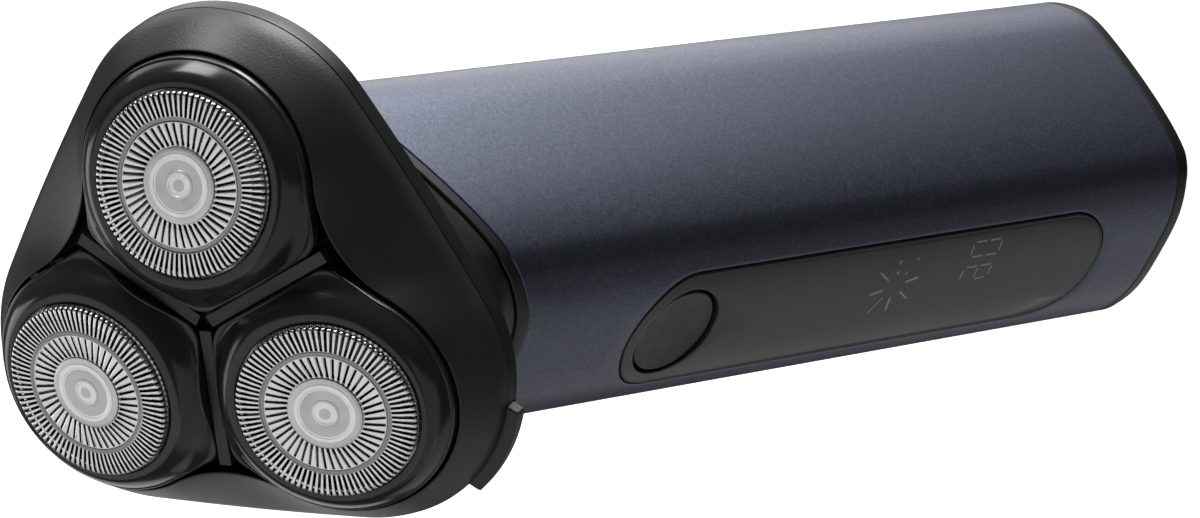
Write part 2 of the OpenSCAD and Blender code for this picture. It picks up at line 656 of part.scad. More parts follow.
// Point p of a section, as [radius, height], swung to direction a
function swing(p, a) = [p[0] * cos(a), p[0] * sin(a), p[1]];
module head_frame() color([0.09, 0.09, 0.1]) at_head() {
    n = 120;
    half = lid_steps + 3;
    m = 2 * half;
    polyhedron([for (j = [0:n - 1]) let (a = 360 * j / n, out = lid_section(a, 0),
            in = lid_section(a, lid_wall)) each concat(
            [for (p = out) swing(p, a)],
            [for (k = [half - 1:-1:0]) swing(in[k], a)])],
        [for (j = [0:n - 1], k = [0:m - 1]) let (i = (j + 1) % n, l = (k + 1) % m)
            each [[j * m + k, j * m + l, i * m + k], [j * m + l, i * m + l, i * m + k]]]);
}
module hinge_leaf() color([0.09, 0.09, 0.1]) difference() {
    union() {
        at_head() translate([-knuckle_x, hinge_y - knuckle_r, -hinge_d])
            cube([2 * knuckle_x, 2 * knuckle_r - 0.3, hinge_d - seam_d]);
        hinge_bar(knuckle_r, -knuckle_x, knuckle_x);
    }
    hinge_bar(hinge_pin_r + hinge_pin_gap, -knuckle_x - 1, knuckle_x + 1);
}

// Plate across the lid that carries the pods in open saddles, with ribs that stand in the gaps
rib_t = 1.4;
rib_l = 17.4;
retainer_inset = 4.5;
rib_drop = 1.2;
saddle_r = ear_r + ear_gap;
saddle_w = 5.2;
pivot_low_d = pivot_d * cos(pod_tilt);
module pod_saddle() difference() {
    translate([gear_pitch - saddle_w / 2, ear_y - ear_w / 2 - 0.2, -lid_floor_d - eps])
        cube([saddle_w, ear_w + 0.4, lid_floor_d - saddle_top_d]);
    translate([gear_pitch, ear_y, -pivot_low_d]) rotate([90, 0, 0])
        cylinder(r = saddle_r, h = 10, center = true);
    translate([gear_pitch - saddle_r, ear_y - 5, -pivot_low_d]) cube([2 * saddle_r, 10, 10]);
}
module cutter_retainer() color([0.16, 0.16, 0.17]) {
    at_depth(lid_floor_d, lid_floor_low_d) difference() {
        trefoil(retainer_inset);
        for (a = pod_angle) rotate(a) translate([gear_pitch, 0]) circle(r = 9.6);
        for (a = side_angle) rotate(a) translate([20, 0]) circle(r = 1.5);
    }
    at_head() difference() {
        for (a = side_angle) rotate([0, 0, a]) translate([0, rib_t / 2, 0]) rotate([90, 0, 0])
            linear_extrude(rib_t) polygon([[0, -lid_floor_d - eps], [rib_l, -lid_floor_d - eps],
                [rib_l, -rib_top_d - rib_drop], [0, -rib_top_d]]);
        translate([0, 0, -rib_top_d - 2]) rotate([0, 0, 30]) cylinder(r = 1.6, h = 5, $fn = 3);
    }
    at_head() for (a = pod_angle) rotate([0, 0, a]) {
        pod_saddle();
        mirror([0, 1, 0]) pod_saddle();
    }
}

// Home-plate outline of a pod, about its cutter: round outside, straight along the gaps
corner_r = 2.4;
corner_at = 15.3;
apex_r = 3;
crown_shift = -0.41;
module pod_plan() intersection() {
    hull() {
        translate([crown_shift, 0]) scale([cos(pod_tilt), 1]) circle(r = pod_r + 0.1, $fn = 96);
        for (s = [-1, 1]) translate([corner_at * cos(60) + (half_gap + corner_r) * sin(60) - pod_pitch,
            s * (corner_at * sin(60) - (half_gap + corner_r) * cos(60))]) circle(r = corner_r, $fn = 32);
        translate([(half_gap + apex_r) / sin(60) - pod_pitch, 0]) circle(r = apex_r, $fn = 32);
    }
    translate([half_gap / sin(60) - pod_pitch, 0])
        polygon([[0, 0], [far * cos(60), -far * sin(60)], [far * cos(60), far * sin(60)]]);
}
module pod(i) color([0.04, 0.04, 0.05]) at_pod(i) difference() {
    union() {
        difference() {
            intersection() {
                rotate([0, -pod_tilt, 0]) translate([0, 0, -10]) linear_extrude(20) pod_plan();
                rotate_extrude($fn = 96) polygon(concat(crown, [[18, -skirt], [0, -skirt]]));
            }
            for (s = [-1, 1]) translate([-ear_relief[0] / 2, s * (ear_relief[1] + 3) - 3, ear_relief[2] - 3])
                cube([ear_relief[0], 6, 3]);
        }
        for (s = [-1, 1]) translate([0, s * ear_y, 0]) {
            translate([-ear_r, -ear_w / 2, -pivot_d]) cube([2 * ear_r, ear_w, pivot_d - 2.9]);
            translate([0, 0, -pivot_d]) rotate([90, 0, 0]) cylinder(r = ear_r, h = ear_w, center = true);
        }
    }
    translate([0, 0, flange_top + 0.05]) cylinder(r = guard_r + 0.12, h = 4);
    translate([0, 0, -far]) cylinder(r = flange_r + 0.1, h = far + flange_top + 0.06);
}
// Half section of a guard, from under its cap out to the flange and back over the top
guard_low = guard_top - guard_skin;
groove_low = guard_top - groove_depth;
guard_in_r = guard_r - guard_wall;
guard_section = [[guard_cap_r, guard_low], [guard_r - guard_edge, guard_low], [guard_in_r, guard_low - 0.2],
    [guard_in_r, flange_low], [flange_r, flange_low], [flange_r, flange_top], [guard_r, flange_top],
    [guard_r, guard_top - guard_edge], [guard_r - guard_edge, guard_top], [groove[1], guard_top],
    [groove[1] - 0.1, groove_low], [groove[0] + 0.1, groove_low], [groove[0], guard_top],
    [guard_cap_r, guard_top]];
module guard(i) color([0.8, 0.81, 0.82]) at_pod(i) rotate_extrude($fn = 96) polygon(guard_section);
module guard_cap(i) color([0.9, 0.9, 0.91]) at_pod(i) translate([0, 0, guard_top - guard_skin])
    cylinder(r = guard_cap_r, h = guard_skin + 0.15);
module cutter(i) color([0.65, 0.66, 0.68]) at_pod(i) {
    difference() {
        union() {
            translate([0, 0, hub_low]) cylinder(r = hub_r, h = hub_top - hub_low);
            translate([0, 0, disc_low]) cylinder(r = disc_r, h = disc_t);
        }
        translate([0, 0, hub_low - 1]) linear_extrude(3.9) hexagon(socket_af);
    }
    for (k = [0:blade_count - 1], span = blade_spans) rotate([0, 0, 360 * k / blade_count])
        translate([span[0], -blade_t / 2, disc_low + 0.4])
            cube([span[1] - span[0], blade_t, blade_top - disc_low - 0.4]);
}

module drive_gear_1() drive_gear(0);
module drive_gear_2() drive_gear(1);
module drive_gear_3() drive_gear(2);
module spindle_1() spindle(0);
module spindle_2() spindle(1);
module spindle_3() spindle(2);
module drive_head_1() drive_head(0);
module drive_head_2() drive_head(1);
module drive_head_3() drive_head(2);
module spindle_spring_1() spindle_spring(0);
module spindle_spring_2() spindle_spring(1);
module spindle_spring_3() spindle_spring(2);
module pod_1() pod(0);
module pod_2() pod(1);
module pod_3() pod(2);
module guard_1() guard(0);
module guard_2() guard(1);
module guard_3() guard(2);
module guard_cap_1() guard_cap(0);
module guard_cap_2() guard_cap(1);
module guard_cap_3() guard_cap(2);
module cutter_1() cutter(0);
module cutter_2() cutter(1);
module cutter_3() cutter(2);

handle_sleeve();
base_cap();
base_gasket();
base_screws();
inner_chassis();
top_collar();
front_panel();
display_module();
power_button();
button_seal();
tact_switch();
switch_plunger();
main_board();
board_screws();
usb_port();
battery_cell();
battery_tabs();
motor_leads();
motor_can();
motor_magnets();
motor_armature();
motor_shaft();
motor_pinion();
motor_end_bell();
gear_plate();
plate_screws();
neck_shell();
hair_chamber();
spindle_seals();
hinge_pin();
release_button();
drive_gear_1();
drive_gear_2();
drive_gear_3();
spindle_1();
spindle_2();
spindle_3();
drive_head_1();
drive_head_2();
drive_head_3();
spindle_spring_1();
spindle_spring_2();
spindle_spring_3();
head_frame();
hinge_leaf();
cutter_retainer();
pod_1();
pod_2();
pod_3();
guard_1();
guard_2();
guard_3();
guard_cap_1();
guard_cap_2();
guard_cap_3();
cutter_1();
cutter_2();
cutter_3();
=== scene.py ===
"""Rotary electric shaver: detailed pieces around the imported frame, with materials, light and camera."""

import json
import math

import bmesh
import bpy
from mathutils import Matrix, Vector


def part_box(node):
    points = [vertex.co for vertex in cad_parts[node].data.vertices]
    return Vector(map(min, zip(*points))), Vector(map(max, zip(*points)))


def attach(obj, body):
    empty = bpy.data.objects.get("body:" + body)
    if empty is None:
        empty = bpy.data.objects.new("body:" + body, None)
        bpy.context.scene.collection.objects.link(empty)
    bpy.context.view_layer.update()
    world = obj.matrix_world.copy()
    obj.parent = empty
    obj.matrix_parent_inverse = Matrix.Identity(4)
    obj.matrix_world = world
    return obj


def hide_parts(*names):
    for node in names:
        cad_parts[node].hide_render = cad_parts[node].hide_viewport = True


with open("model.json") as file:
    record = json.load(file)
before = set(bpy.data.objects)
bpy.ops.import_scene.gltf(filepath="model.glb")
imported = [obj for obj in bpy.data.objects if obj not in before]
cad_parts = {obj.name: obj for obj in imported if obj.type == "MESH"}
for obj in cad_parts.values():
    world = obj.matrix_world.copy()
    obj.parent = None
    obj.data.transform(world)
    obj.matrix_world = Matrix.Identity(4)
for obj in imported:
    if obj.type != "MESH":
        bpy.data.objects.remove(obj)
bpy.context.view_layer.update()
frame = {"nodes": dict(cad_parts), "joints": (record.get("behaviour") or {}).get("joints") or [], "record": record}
joints = {joint["name"]: joint for joint in frame["joints"]}
MM = 0.001
X, Y, Z = Vector((1, 0, 0)), Vector((0, 1, 0)), Vector((0, 0, 1))


# ---- places in the frame, in millimetres
def axes_at(origin, x, y, z):
    """Matrix from millimetres on these axes about origin to metres in the shared frame."""
    turn = Matrix((x, y, z)).transposed().to_4x4()
    return Matrix.Translation(origin) @ turn @ Matrix.Scale(MM, 4)


def head_axes():
    """The head's own axes: z out of its face, x to the right."""
    joint = joints["motor_spin"]
    z = Vector(joint["axis"]).normalized()
    return axes_at(Vector(joint["pos_m"]), X, z.cross(X), z)


def pod_axes(k):
    """A pod's own axes: z out of its cutter, x away from the middle of the head."""
    joint = joints[f"cutter_{k}_spin"]
    z = Vector(joint["axis"]).normalized()
    y = Vector(joints[f"pod_{k}_tilt"]["axis"]).normalized()
    return axes_at(Vector(joint["pos_m"]), y.cross(z), y, z)


def box_mm(node):
    low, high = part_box(node)
    return low / MM, high / MM


BODY = Matrix.Scale(MM, 4)
HEAD = head_axes()
HEAD_TILT = math.atan2(-HEAD[1][2], HEAD[2][2])
HEAD_AT = HEAD.translation / MM
CUTTERS = (1, 2, 3)

# ---- sizes, in millimetres
HALF_W, HALF_D = box_mm("base_cap")[1].xy
# The crease between the front face and the flank, and the radius it is rounded over
CREASE = Vector((12.4, -16.9))
CREASE_ROUND = 1.5
# Where the handle is widest, and how far the flank's and the back's curves pull
WIDEST_Y = 5.3
FLANK_REACH = 3.2
BACK_REACH = 8.85
# Half width of the part of the front face around the panel
FACE_X = 10.5
CAP_H = 2.2
# Thickness of the handle's skins
WALL = 1.5

# Depths below the head's face, along its axis
SEAM_D = 11.0
RIM_LOW_D = 13.7
COLLAR_TOP_D = 25.2
SLEEVE_TOP_D = 26.9
# The slanting end dips along an arc across the front face, deepest in the middle
DIP = 2.4
DIP_R = (CREASE.x**2 + DIP**2) / (2 * DIP)

# The head's outline: three lobes about their centres, joined by long flat arcs
LOBE_PITCH = 14.8
LOBE_R = 18.8
SIDE_R = 26.5
LOBE_DIRECTIONS = (-90, 30, 150)
SIDE_DIRECTIONS = (-30, 90, 210)
# The lid's opening: three round openings that meet in noses, and the depth of its edge there
OPENING_PITCH = 16.3
OPENING_R = 14.2
NOSE_R = 18.6
NOSE_D = 2.8
POD_PITCH = 17.0
POD_TILT = math.radians(9.2)

# The gap round the panel and the power button in it
GAP = 0.15
panel_low, panel_high = box_mm("front_panel")
PANEL_R = panel_high.x
PANEL_ENDS = (panel_low.z + PANEL_R, panel_high.z - PANEL_R)
button_low, button_high = box_mm("power_button")
BUTTON_R = button_high.x
BUTTON_Z = (button_low.z + button_high.z) / 2
BUTTON_FACE_Y = button_low.y


# ---- numbers and curves
def sin(degrees):
    return math.sin(math.radians(degrees))


def cos(degrees):
    return math.cos(math.radians(degrees))


def tan(degrees):
    return math.tan(math.radians(degrees))


def mix(a, b, t):
    return a * (1 - t) + b * t


def smooth(t):
    t = min(max(t, 0), 1)
    return t * t * (3 - 2 * t)


def spread(count, low=0.0, high=1.0):
    """count + 1 evenly spaced values."""
    return [low + (high - low) * i / count for i in range(count + 1)]


def around(count):
    """Evenly spaced directions, once round, in degrees."""
    return spread(count, 0, 360)[:-1]


def swing(p, a):
    """Point p of a section, as radius and height, in direction a."""
    return Vector((p[0] * cos(a), p[0] * sin(a), p[1]))


def circle(middle, u, v, r, count=32):
    """Points on a circle in the plane of u and v."""
    return [middle + u * (r * cos(a)) + v * (r * sin(a)) for a in around(count)]


def arc_through(a, b, c, count):
    """A smooth turn from a to c that pulls towards b."""
    return [a * (1 - t) ** 2 + b * (2 * t * (1 - t)) + c * t * t for t in spread(count)]


def bezier(points, t):
    a, b, c, d = points
    return a * (1 - t) ** 3 + b * (3 * t * (1 - t) ** 2) + c * (3 * t * t * (1 - t)) + d * t**3


def rounded(points, radii, steps=5):
    """An open line of points with its inner corners rounded off, with the same count for any shape."""
    line = [points[0]]
    for before, corner, after, r in zip(points, points[1:], points[2:], radii):
        start = corner + (before - corner).normalized() * min(r, (before - corner).length * 0.49)
        end = corner + (after - corner).normalized() * min(r, (after - corner).length * 0.49)
        line += arc_through(start, corner, end, steps)
    return line + [points[-1]]


# ---- outline of the handle
FRONT = (
    Vector((0, -HALF_D)),
    Vector((0.45 * CREASE.x, -HALF_D)),
    Vector((0.61 * CREASE.x, 0.2 - HALF_D)),
    CREASE,
)
FLANK = (
    CREASE,
    CREASE + Vector((FLANK_REACH, FLANK_REACH)),
    Vector((HALF_W, WIDEST_Y - FLANK_REACH)),
    Vector((HALF_W, WIDEST_Y)),
)
BACK = (
    Vector((HALF_W, WIDEST_Y)),
    Vector((HALF_W, WIDEST_Y + BACK_REACH)),
    Vector((HALF_W / 2, HALF_D)),
    Vector((0, HALF_D)),
)


def front_y(x):
    """Depth of the front face at x, found by halving."""
    low, high = 0.0, 1.0
    for _ in range(40):
        t = (low + high) / 2
        low, high = (t, high) if bezier(FRONT, t).x < abs(x) else (low, t)
    return bezier(FRONT, low).y


def right_side():
    """Outline from the edge of the front face, over the rounded crease, to the middle of the back."""
    face = [Vector((x, front_y(x))) for x in spread(3, FACE_X, CREASE.x - CREASE_ROUND)]
    flank = [bezier(FLANK, t) for t in spread(60)]
    flank = [p for p in flank if (p - CREASE).length > CREASE_ROUND][::2]
    crease = arc_through(face[-1], CREASE, flank[0], 8)
    back = [bezier(BACK, t) for t in spread(36)]
    return face[:-1] + crease + flank[1:-1] + back


FACE_XS = spread(20, -FACE_X, FACE_X)
RIGHT = right_side()
SIDES = RIGHT + [Vector((-p.x, p.y)) for p in RIGHT[-2::-1]]
OUTLINE = [Vector((x, front_y(x))) for x in FACE_XS[1:-1]] + SIDES


def inset(p, t):
    return Vector((p.x * (1 - t / HALF_W), p.y * (1 - t / HALF_D)))


def end_drop(p):
    """How far the slanting end of the handle drops at p, across its front face."""
    if p.y > 0 or abs(p.x) > CREASE.x:
        return 0
    return math.sqrt(DIP_R**2 - p.x**2) - DIP_R + DIP


def end_z(p, depth):
    """Height at which the handle's wall at p meets that depth of the head."""
    drop = depth + end_drop(p)
    return HEAD_AT.z + ((p.y - HEAD_AT.y) * math.sin(HEAD_TILT) - drop) / math.cos(HEAD_TILT)


def ring_at(depth, t):
    """The outline, drawn in by t, on the slanting level at that depth."""
    return [Vector((q.x, q.y, end_z(q, depth))) for q in (inset(p, t) for p in OUTLINE)]


def level_ring(z, t):
    """The outline, drawn in by t, at one height."""
    return [inset(p, t).to_3d() + Z * z for p in OUTLINE]


# ---- outlines of the head
def lobe_angle(a):
    """Angle from the nearest lobe's direction, from 0 to 60 degrees."""
    return abs((a + 150) % 120 - 60)


def joined_arcs():
    """Where the arcs of the head and of the lid's opening meet.

    The side arc joins two lobes and the nose arc joins two openings. For each: its radius, the distance
    of its centre, and where it ends, as an angle from the lobe's or from the nose's direction.
    """
    lobe = Vector((LOBE_PITCH * cos(60), LOBE_PITCH * sin(60)))
    gap = SIDE_R - lobe.x
    side_arc = (gap**2 + lobe.y**2 - LOBE_R**2) / (2 * (gap - LOBE_R))
    side_x = SIDE_R - side_arc
    turn = 60 - math.degrees(math.atan2(lobe.y, lobe.x - side_x))
    lobe_end = math.degrees(math.atan2(LOBE_R * sin(turn), LOBE_PITCH + LOBE_R * cos(turn)))
    pod = Vector((OPENING_PITCH * cos(60), OPENING_PITCH * sin(60)))
    gap = NOSE_R - pod.x
    nose_arc = (gap**2 + pod.y**2 - OPENING_R**2) / (2 * (OPENING_R - gap))
    nose_x = NOSE_R + nose_arc
    end = pod.lerp(Vector((nose_x, 0)), OPENING_R / (OPENING_R + nose_arc))
    return side_arc, side_x, lobe_end, nose_arc, nose_x, math.degrees(math.atan2(end.y, end.x))


SIDE_ARC, SIDE_X, LOBE_END, NOSE_ARC, NOSE_X, NOSE_END = joined_arcs()
HEAD_ANGLES = around(288)


def head_r(a):
    """Radius of the head in direction a."""
    f = lobe_angle(a)
    if f < LOBE_END:
        return LOBE_PITCH * cos(f) + math.sqrt(LOBE_R**2 - (LOBE_PITCH * sin(f)) ** 2)
    return SIDE_X * cos(60 - f) + math.sqrt(SIDE_ARC**2 - (SIDE_X * sin(60 - f)) ** 2)


def open_r(a):
    """Radius of the lid's opening in direction a."""
    f = lobe_angle(a)
    if 60 - f > NOSE_END:
        return OPENING_PITCH * cos(f) + math.sqrt(OPENING_R**2 - (OPENING_PITCH * sin(f)) ** 2)
    return NOSE_X * cos(60 - f) - math.sqrt(NOSE_ARC**2 - (NOSE_X * sin(60 - f)) ** 2)


def open_d(a):
    """Depth of the opening's edge: level in the noses, then falling outwards with the pods' tilt."""
    reach = open_r(a) * cos(lobe_angle(a)) - POD_PITCH
    return NOSE_D + math.tan(POD_TILT) * (reach + math.sqrt(reach * reach + 4)) / 2


# ---- meshes
class Skin:
    """Points and faces that become one piece."""

    def __init__(self):
        self.points = []
        self.faces = []

    def add(self, points):
        start = len(self.points)
        self.points += [Vector(p) for p in points]
        return list(range(start, len(self.points)))

    def rows(self, rows, closed=True):
        """Quads through rows of equally many points; closed joins each row's last point to its first."""
        lines = [self.add(row) for row in rows]
        for a, b in zip(lines, lines[1:]):
            for i in range(len(a) if closed else len(a) - 1):
                j = (i + 1) % len(a)
                self.faces.append((a[i], a[j], b[j], b[i]))
        return lines

    def cap(self, loop):
        self.faces.append(tuple(loop))

    def solid(self, rows):
        """Rows with a face over each end."""
        lines = self.rows(rows)
        self.cap(lines[0])
        self.cap(lines[-1])

    def ring(self, rows):
        """Rows whose last joins the first."""
        self.rows(list(rows) + [rows[0]])

    def fan(self, loop, middle):
        centre = self.add([middle])[0]
        self.faces += [(loop[i], loop[(i + 1) % len(loop)], centre) for i in range(len(loop))]

    def prism(self, corners, depth):
        """A flat bar: corners and the same corners moved by depth."""
        low = self.add(corners)
        high = self.add([Vector(c) + depth for c in corners])
        self.faces += [tuple(low), tuple(high)]
        for i in range(len(low)):
            j = (i + 1) % len(low)
            self.faces.append((low[i], low[j], high[j], high[i]))


def cut(obj, tools):
    """Takes the tools' solids out of obj."""
    for tool in tools:
        change = obj.modifiers.new("cut", "BOOLEAN")
        change.operation = "DIFFERENCE"
        change.solver = "EXACT"
        change.object = tool
        bpy.context.view_layer.update()
        shape = obj.evaluated_get(bpy.context.evaluated_depsgraph_get())
        result = bpy.data.meshes.new_from_object(shape)
        obj.modifiers.clear()
        obj.data = result
        bpy.data.objects.remove(tool)


def build(name, skin, matrix=BODY, crease=32, weld=True):
    """Makes an object of a skin, with outward faces and sharp edges over the crease angle."""
    mesh = bpy.data.meshes.new(name)
    mesh.from_pydata([matrix @ p for p in skin.points], [], skin.faces)
    work = bmesh.new()
    work.from_mesh(mesh)
    if weld:
        bmesh.ops.remove_doubles(work, verts=work.verts, dist=2e-6)
    bmesh.ops.recalc_face_normals(work, faces=work.faces)
    work.to_mesh(mesh)
    work.free()
    obj = bpy.data.objects.new(name, mesh)
    bpy.context.scene.collection.objects.link(obj)
    shade(obj, crease)
    return obj


def build_solid(name, rows, matrix=BODY):
    """An object of one skin of rows with a face over each end."""
    skin = Skin()
    skin.solid(rows)
    return build(name, skin, matrix)


def rod(name, r, low, high, matrix=BODY):
    """Plain round solid, only used to cut others."""
    return build_solid(name, [circle(Z * z, X, Y, r, 48) for z in (low, high)], matrix)


def shade(obj, crease):
    obj.data.shade_smooth()
    obj.data.set_sharp_from_angle(angle=math.radians(crease))


def place(obj, body, slot, replaces=(), material=None):
    """The piece takes its slot's material, or its own, rides on the body and stands for the CAD nodes."""
    obj.data.materials.clear()
    obj.data.materials.append(material or MATERIALS[slot])
    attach(obj, body)
    if replaces:
        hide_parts(*replaces)


# ---- materials
class Finish:
    """A node material: a Principled shader and the nodes that feed it. Sizes are in metres."""

    def __init__(self, name, color, metallic=0.0, roughness=0.4, coat=0.0, specular=0.5):
        self.material = bpy.data.materials.new(name)
        self.material.use_nodes = True
        self.tree = self.material.node_tree
        self.shader = self.tree.nodes["Principled BSDF"]
        self.shader.inputs["Base Color"].default_value = (*color, 1)
        self.shader.inputs["Metallic"].default_value = metallic
        self.shader.inputs["Roughness"].default_value = roughness
        self.shader.inputs["Coat Weight"].default_value = coat
        self.shader.inputs["Coat Roughness"].default_value = 0.05
        self.shader.inputs["Specular IOR Level"].default_value = specular
        self.relief = None

    def node(self, kind, **values):
        node = self.tree.nodes.new(kind)
        for key, value in values.items():
            if key in node.inputs:
                node.inputs[key].default_value = value
            else:
                setattr(node, key, value)
        return node

    def link(self, out, into):
        self.tree.links.new(out, into)

    def position(self):
        return self.node("ShaderNodeTexCoord").outputs["Object"]

    def noise(self, scale, detail=2.0):
        node = self.node("ShaderNodeTexNoise", Scale=scale, Detail=detail)
        self.link(self.position(), node.inputs["Vector"])
        return node.outputs["Fac"]

    def remap(self, value, low, high, out_low, out_high):
        node = self.node("ShaderNodeMapRange")
        ends = {"From Min": low, "From Max": high, "To Min": out_low, "To Max": out_high}
        for key, number in ends.items():
            node.inputs[key].default_value = number
        self.link(value, node.inputs["Value"])
        return node.outputs["Result"]

    def tint(self, value, low, high):
        """Base colour from low to high as value goes from 0 to 1."""
        node = self.node("ShaderNodeValToRGB")
        node.color_ramp.elements[0].color = (*low, 1)
        node.color_ramp.elements[1].color = (*high, 1)
        self.link(value, node.inputs["Fac"])
        self.link(node.outputs["Color"], self.shader.inputs["Base Color"])

    def rough(self, value, low, high):
        """Roughness from low to high over the middle of a noise."""
        self.link(self.remap(value, 0.3, 0.7, low, high), self.shader.inputs["Roughness"])

    def bump(self, value, distance, strength=1.0):
        """Relief of that many metres, on top of any relief that is there."""
        node = self.node("ShaderNodeBump", Distance=distance, Strength=strength)
        self.link(value, node.inputs["Height"])
        if self.relief:
            self.link(self.relief, node.inputs["Normal"])
        self.relief = node.outputs["Normal"]
        self.link(self.relief, self.shader.inputs["Normal"])


def moulded(name, color, roughness, grain=0.0, scale=9000):
    """Moulded plastic: cloudy gloss, and a fine grain where the mould is textured."""
    finish = Finish(name, color, roughness=roughness)
    finish.rough(finish.noise(60, 3), roughness * 0.9, roughness * 1.12)
    finish.tint(finish.noise(140, 3), [c * 0.85 for c in color], [c * 1.15 for c in color])
    if grain:
        finish.bump(finish.noise(scale, 2), grain)
    return finish.material


def metal(name, color, roughness, scratch=2e-6):
    """Machined metal: faint uneven gloss and fine random scratches."""
    finish = Finish(name, color, metallic=1.0, roughness=roughness)
    finish.rough(finish.noise(900, 3), roughness * 0.8, roughness * 1.25)
    finish.tint(finish.noise(300, 2), [c * 0.9 for c in color], color)
    finish.bump(finish.noise(2500, 3), scratch)
    return finish.material


def lacquer():
    """Dark blue metallic lacquer: bright flakes in a dark ground under a satin top."""
    finish = Finish("lacquer", (0.03, 0.036, 0.06), metallic=0.85, roughness=0.42, coat=0.25)
    finish.shader.inputs["Coat Roughness"].default_value = 0.3
    cells = finish.node("ShaderNodeTexVoronoi", Scale=5200.0)
    finish.link(finish.position(), cells.inputs["Vector"])
    spot = finish.node("ShaderNodeSeparateColor")
    finish.link(cells.outputs["Color"], spot.inputs["Color"])
    flake = finish.remap(spot.outputs["Red"], 0.35, 1.0, 0.0, 1.0)
    finish.tint(flake, (0.08, 0.088, 0.125), (0.122, 0.135, 0.182))
    gloss = finish.remap(spot.outputs["Green"], 0, 1, 0.36, 0.46)
    finish.link(gloss, finish.shader.inputs["Roughness"])
    finish.bump(spot.outputs["Blue"], 2.5e-6, 0.5)
    return finish.material


def banded(name, middle, reach, bands, roughness, relief):
    """Bright metal in rings about a point: bands are (inner radius, brightness), in millimetres."""
    finish = Finish(name, (0.8, 0.8, 0.8), metallic=0.95, roughness=roughness)
    away = finish.node("ShaderNodeVectorMath", operation="DISTANCE")
    finish.link(finish.position(), away.inputs[0])
    away.inputs[1].default_value = middle
    ramp = finish.node("ShaderNodeValToRGB")
    ramp.color_ramp.interpolation = "CONSTANT"
    ramp.color_ramp.elements.remove(ramp.color_ramp.elements[1])
    ramp.color_ramp.elements[0].color = (*3 * (bands[0][1],), 1)
    for start, level in bands[1:]:
        ramp.color_ramp.elements.new(start / reach).color = (level, level, level, 1)
    share = finish.remap(away.outputs["Value"], 0.0, reach * MM, 0.0, 1.0)
    finish.link(share, ramp.inputs["Fac"])
    finish.link(ramp.outputs["Color"], finish.shader.inputs["Base Color"])
    finish.bump(finish.noise(4000, 2), relief)
    finish.rough(finish.noise(700, 2), roughness * 0.85, roughness * 1.15)
    return finish.material


def turned_black():
    """Black disc turned on a lathe: its fine rings draw the light out into a cone across the face."""
    finish = Finish("spun_black", (0.05, 0.05, 0.052), metallic=0.6, roughness=0.3)
    finish.shader.inputs["Anisotropic"].default_value = 0.8
    tangent = finish.node("ShaderNodeTangent", direction_type="RADIAL", axis="Y")
    finish.link(tangent.outputs["Tangent"], finish.shader.inputs["Tangent"])
    finish.rough(finish.noise(400, 3), 0.26, 0.36)
    finish.tint(finish.noise(900, 2), (0.045, 0.045, 0.047), (0.06, 0.06, 0.062))
    return finish.material


BLACK = (0.022, 0.022, 0.023)
# Colour, roughness, and the depth and scale of the grain
PLASTICS = {
    "black_trim": ((0.009, 0.009, 0.01), 0.36, 3e-6),
    "satin_black": (BLACK, 0.42, 3e-5, 4200),
    "gloss_black": (BLACK, 0.19, 1e-6, 3000),
    "panel_black": ((0.03, 0.03, 0.031), 0.3, 1e-6),
    "grey_plastic": (BLACK, 0.42, 4e-6),
    "dark_plastic": ((0.03, 0.03, 0.033), 0.4, 3e-6),
    "white_nylon": ((0.74, 0.73, 0.68), 0.42, 3e-6),
    "rubber": ((0.02, 0.02, 0.02), 0.7, 6e-6),
    "mark_grey": ((0.34, 0.34, 0.34), 0.4),
    "cell_wrap": ((0.05, 0.2, 0.42), 0.3),
    "board_green": ((0.02, 0.15, 0.07), 0.35),
    "wire_jacket": ((0.4, 0.03, 0.03), 0.45),
}
# Colour, roughness, and the depth of the scratches
METALS = {
    "polished_steel": ((0.62, 0.62, 0.63), 0.27, 4e-7),
    "steel": ((0.2, 0.19, 0.19), 0.35),
    "slot_shade_steel": ((0.1, 0.085, 0.08), 0.45),
    # The dark steel below paints the shade inside the guards' slots, on the slot walls
    "magnet": ((0.1, 0.1, 0.11), 0.5),
    "copper": ((0.72, 0.38, 0.2), 0.3),
    "nickel": ((0.66, 0.64, 0.6), 0.3),
}
MATERIALS = {"metallic_sleeve": lacquer(), "spun_black": turned_black()}
MATERIALS |= {name: moulded(name, *look) for name, look in PLASTICS.items()}
MATERIALS |= {name: metal(name, *look) for name, look in METALS.items()}


def dress_nodes():
    """Every CAD node takes the material of its slot."""
    slots = {row["node"]: row["material_slot"] for row in frame["record"]["subparts"]}
    for name, node in frame["nodes"].items():
        node.data.materials.clear()
        node.data.materials.append(MATERIALS[slots[name]])


# ---- camera, light and floor
CAMERA_AT = Vector((321.96, -325.13, 543.44))
CAMERA_AIM = Vector((-4.96, -0.75, 85.01))
# The camera lies on its side, so that the handle runs across the picture
CAMERA_ROLL = -98.7
CAMERA_LENS, SENSOR_W = 161.67, 36

# Names of the lights, what they face, the direction they stand in, and how far; sizes in metres; radiance
HANDLE_AT = Vector((0, 0, 0.1))
LIGHTS = (
    ("key_light", HANDLE_AT, (0.42, 0.8, -0.4), 0.8, (1.2, 1.0), 1.45),
    ("front_light", HANDLE_AT, (-0.5, -0.19, 0.84), 0.9, (1.1, 1.1), 0.65),
    ("top_light", HEAD_AT * MM, (0.69, 0.69, 0.21), 0.35, (0.13, 0.13), 9.0),
    ("edge_light", HEAD_AT * MM, (0.82, 0.46, -0.34), 0.35, (0.17, 0.17), 12.0),
    ("side_light", HEAD_AT * MM, (-0.93, 0.2, -0.36), 0.35, (0.2, 0.22), 0.8),
    ("fill_light", HANDLE_AT, (-0.5, -0.5, -0.7), 0.8, (0.8, 0.8), 0.4),
    ("room_light", HANDLE_AT, (-0.2, -0.97, 0.12), 0.9, (1.3, 1.0), 0.4),
    ("left_light", HEAD_AT * MM, (-0.66, 0.64, 0.35), 0.35, (0.2, 0.24), 1.7),
)
BACKDROP_REACH = 3.5
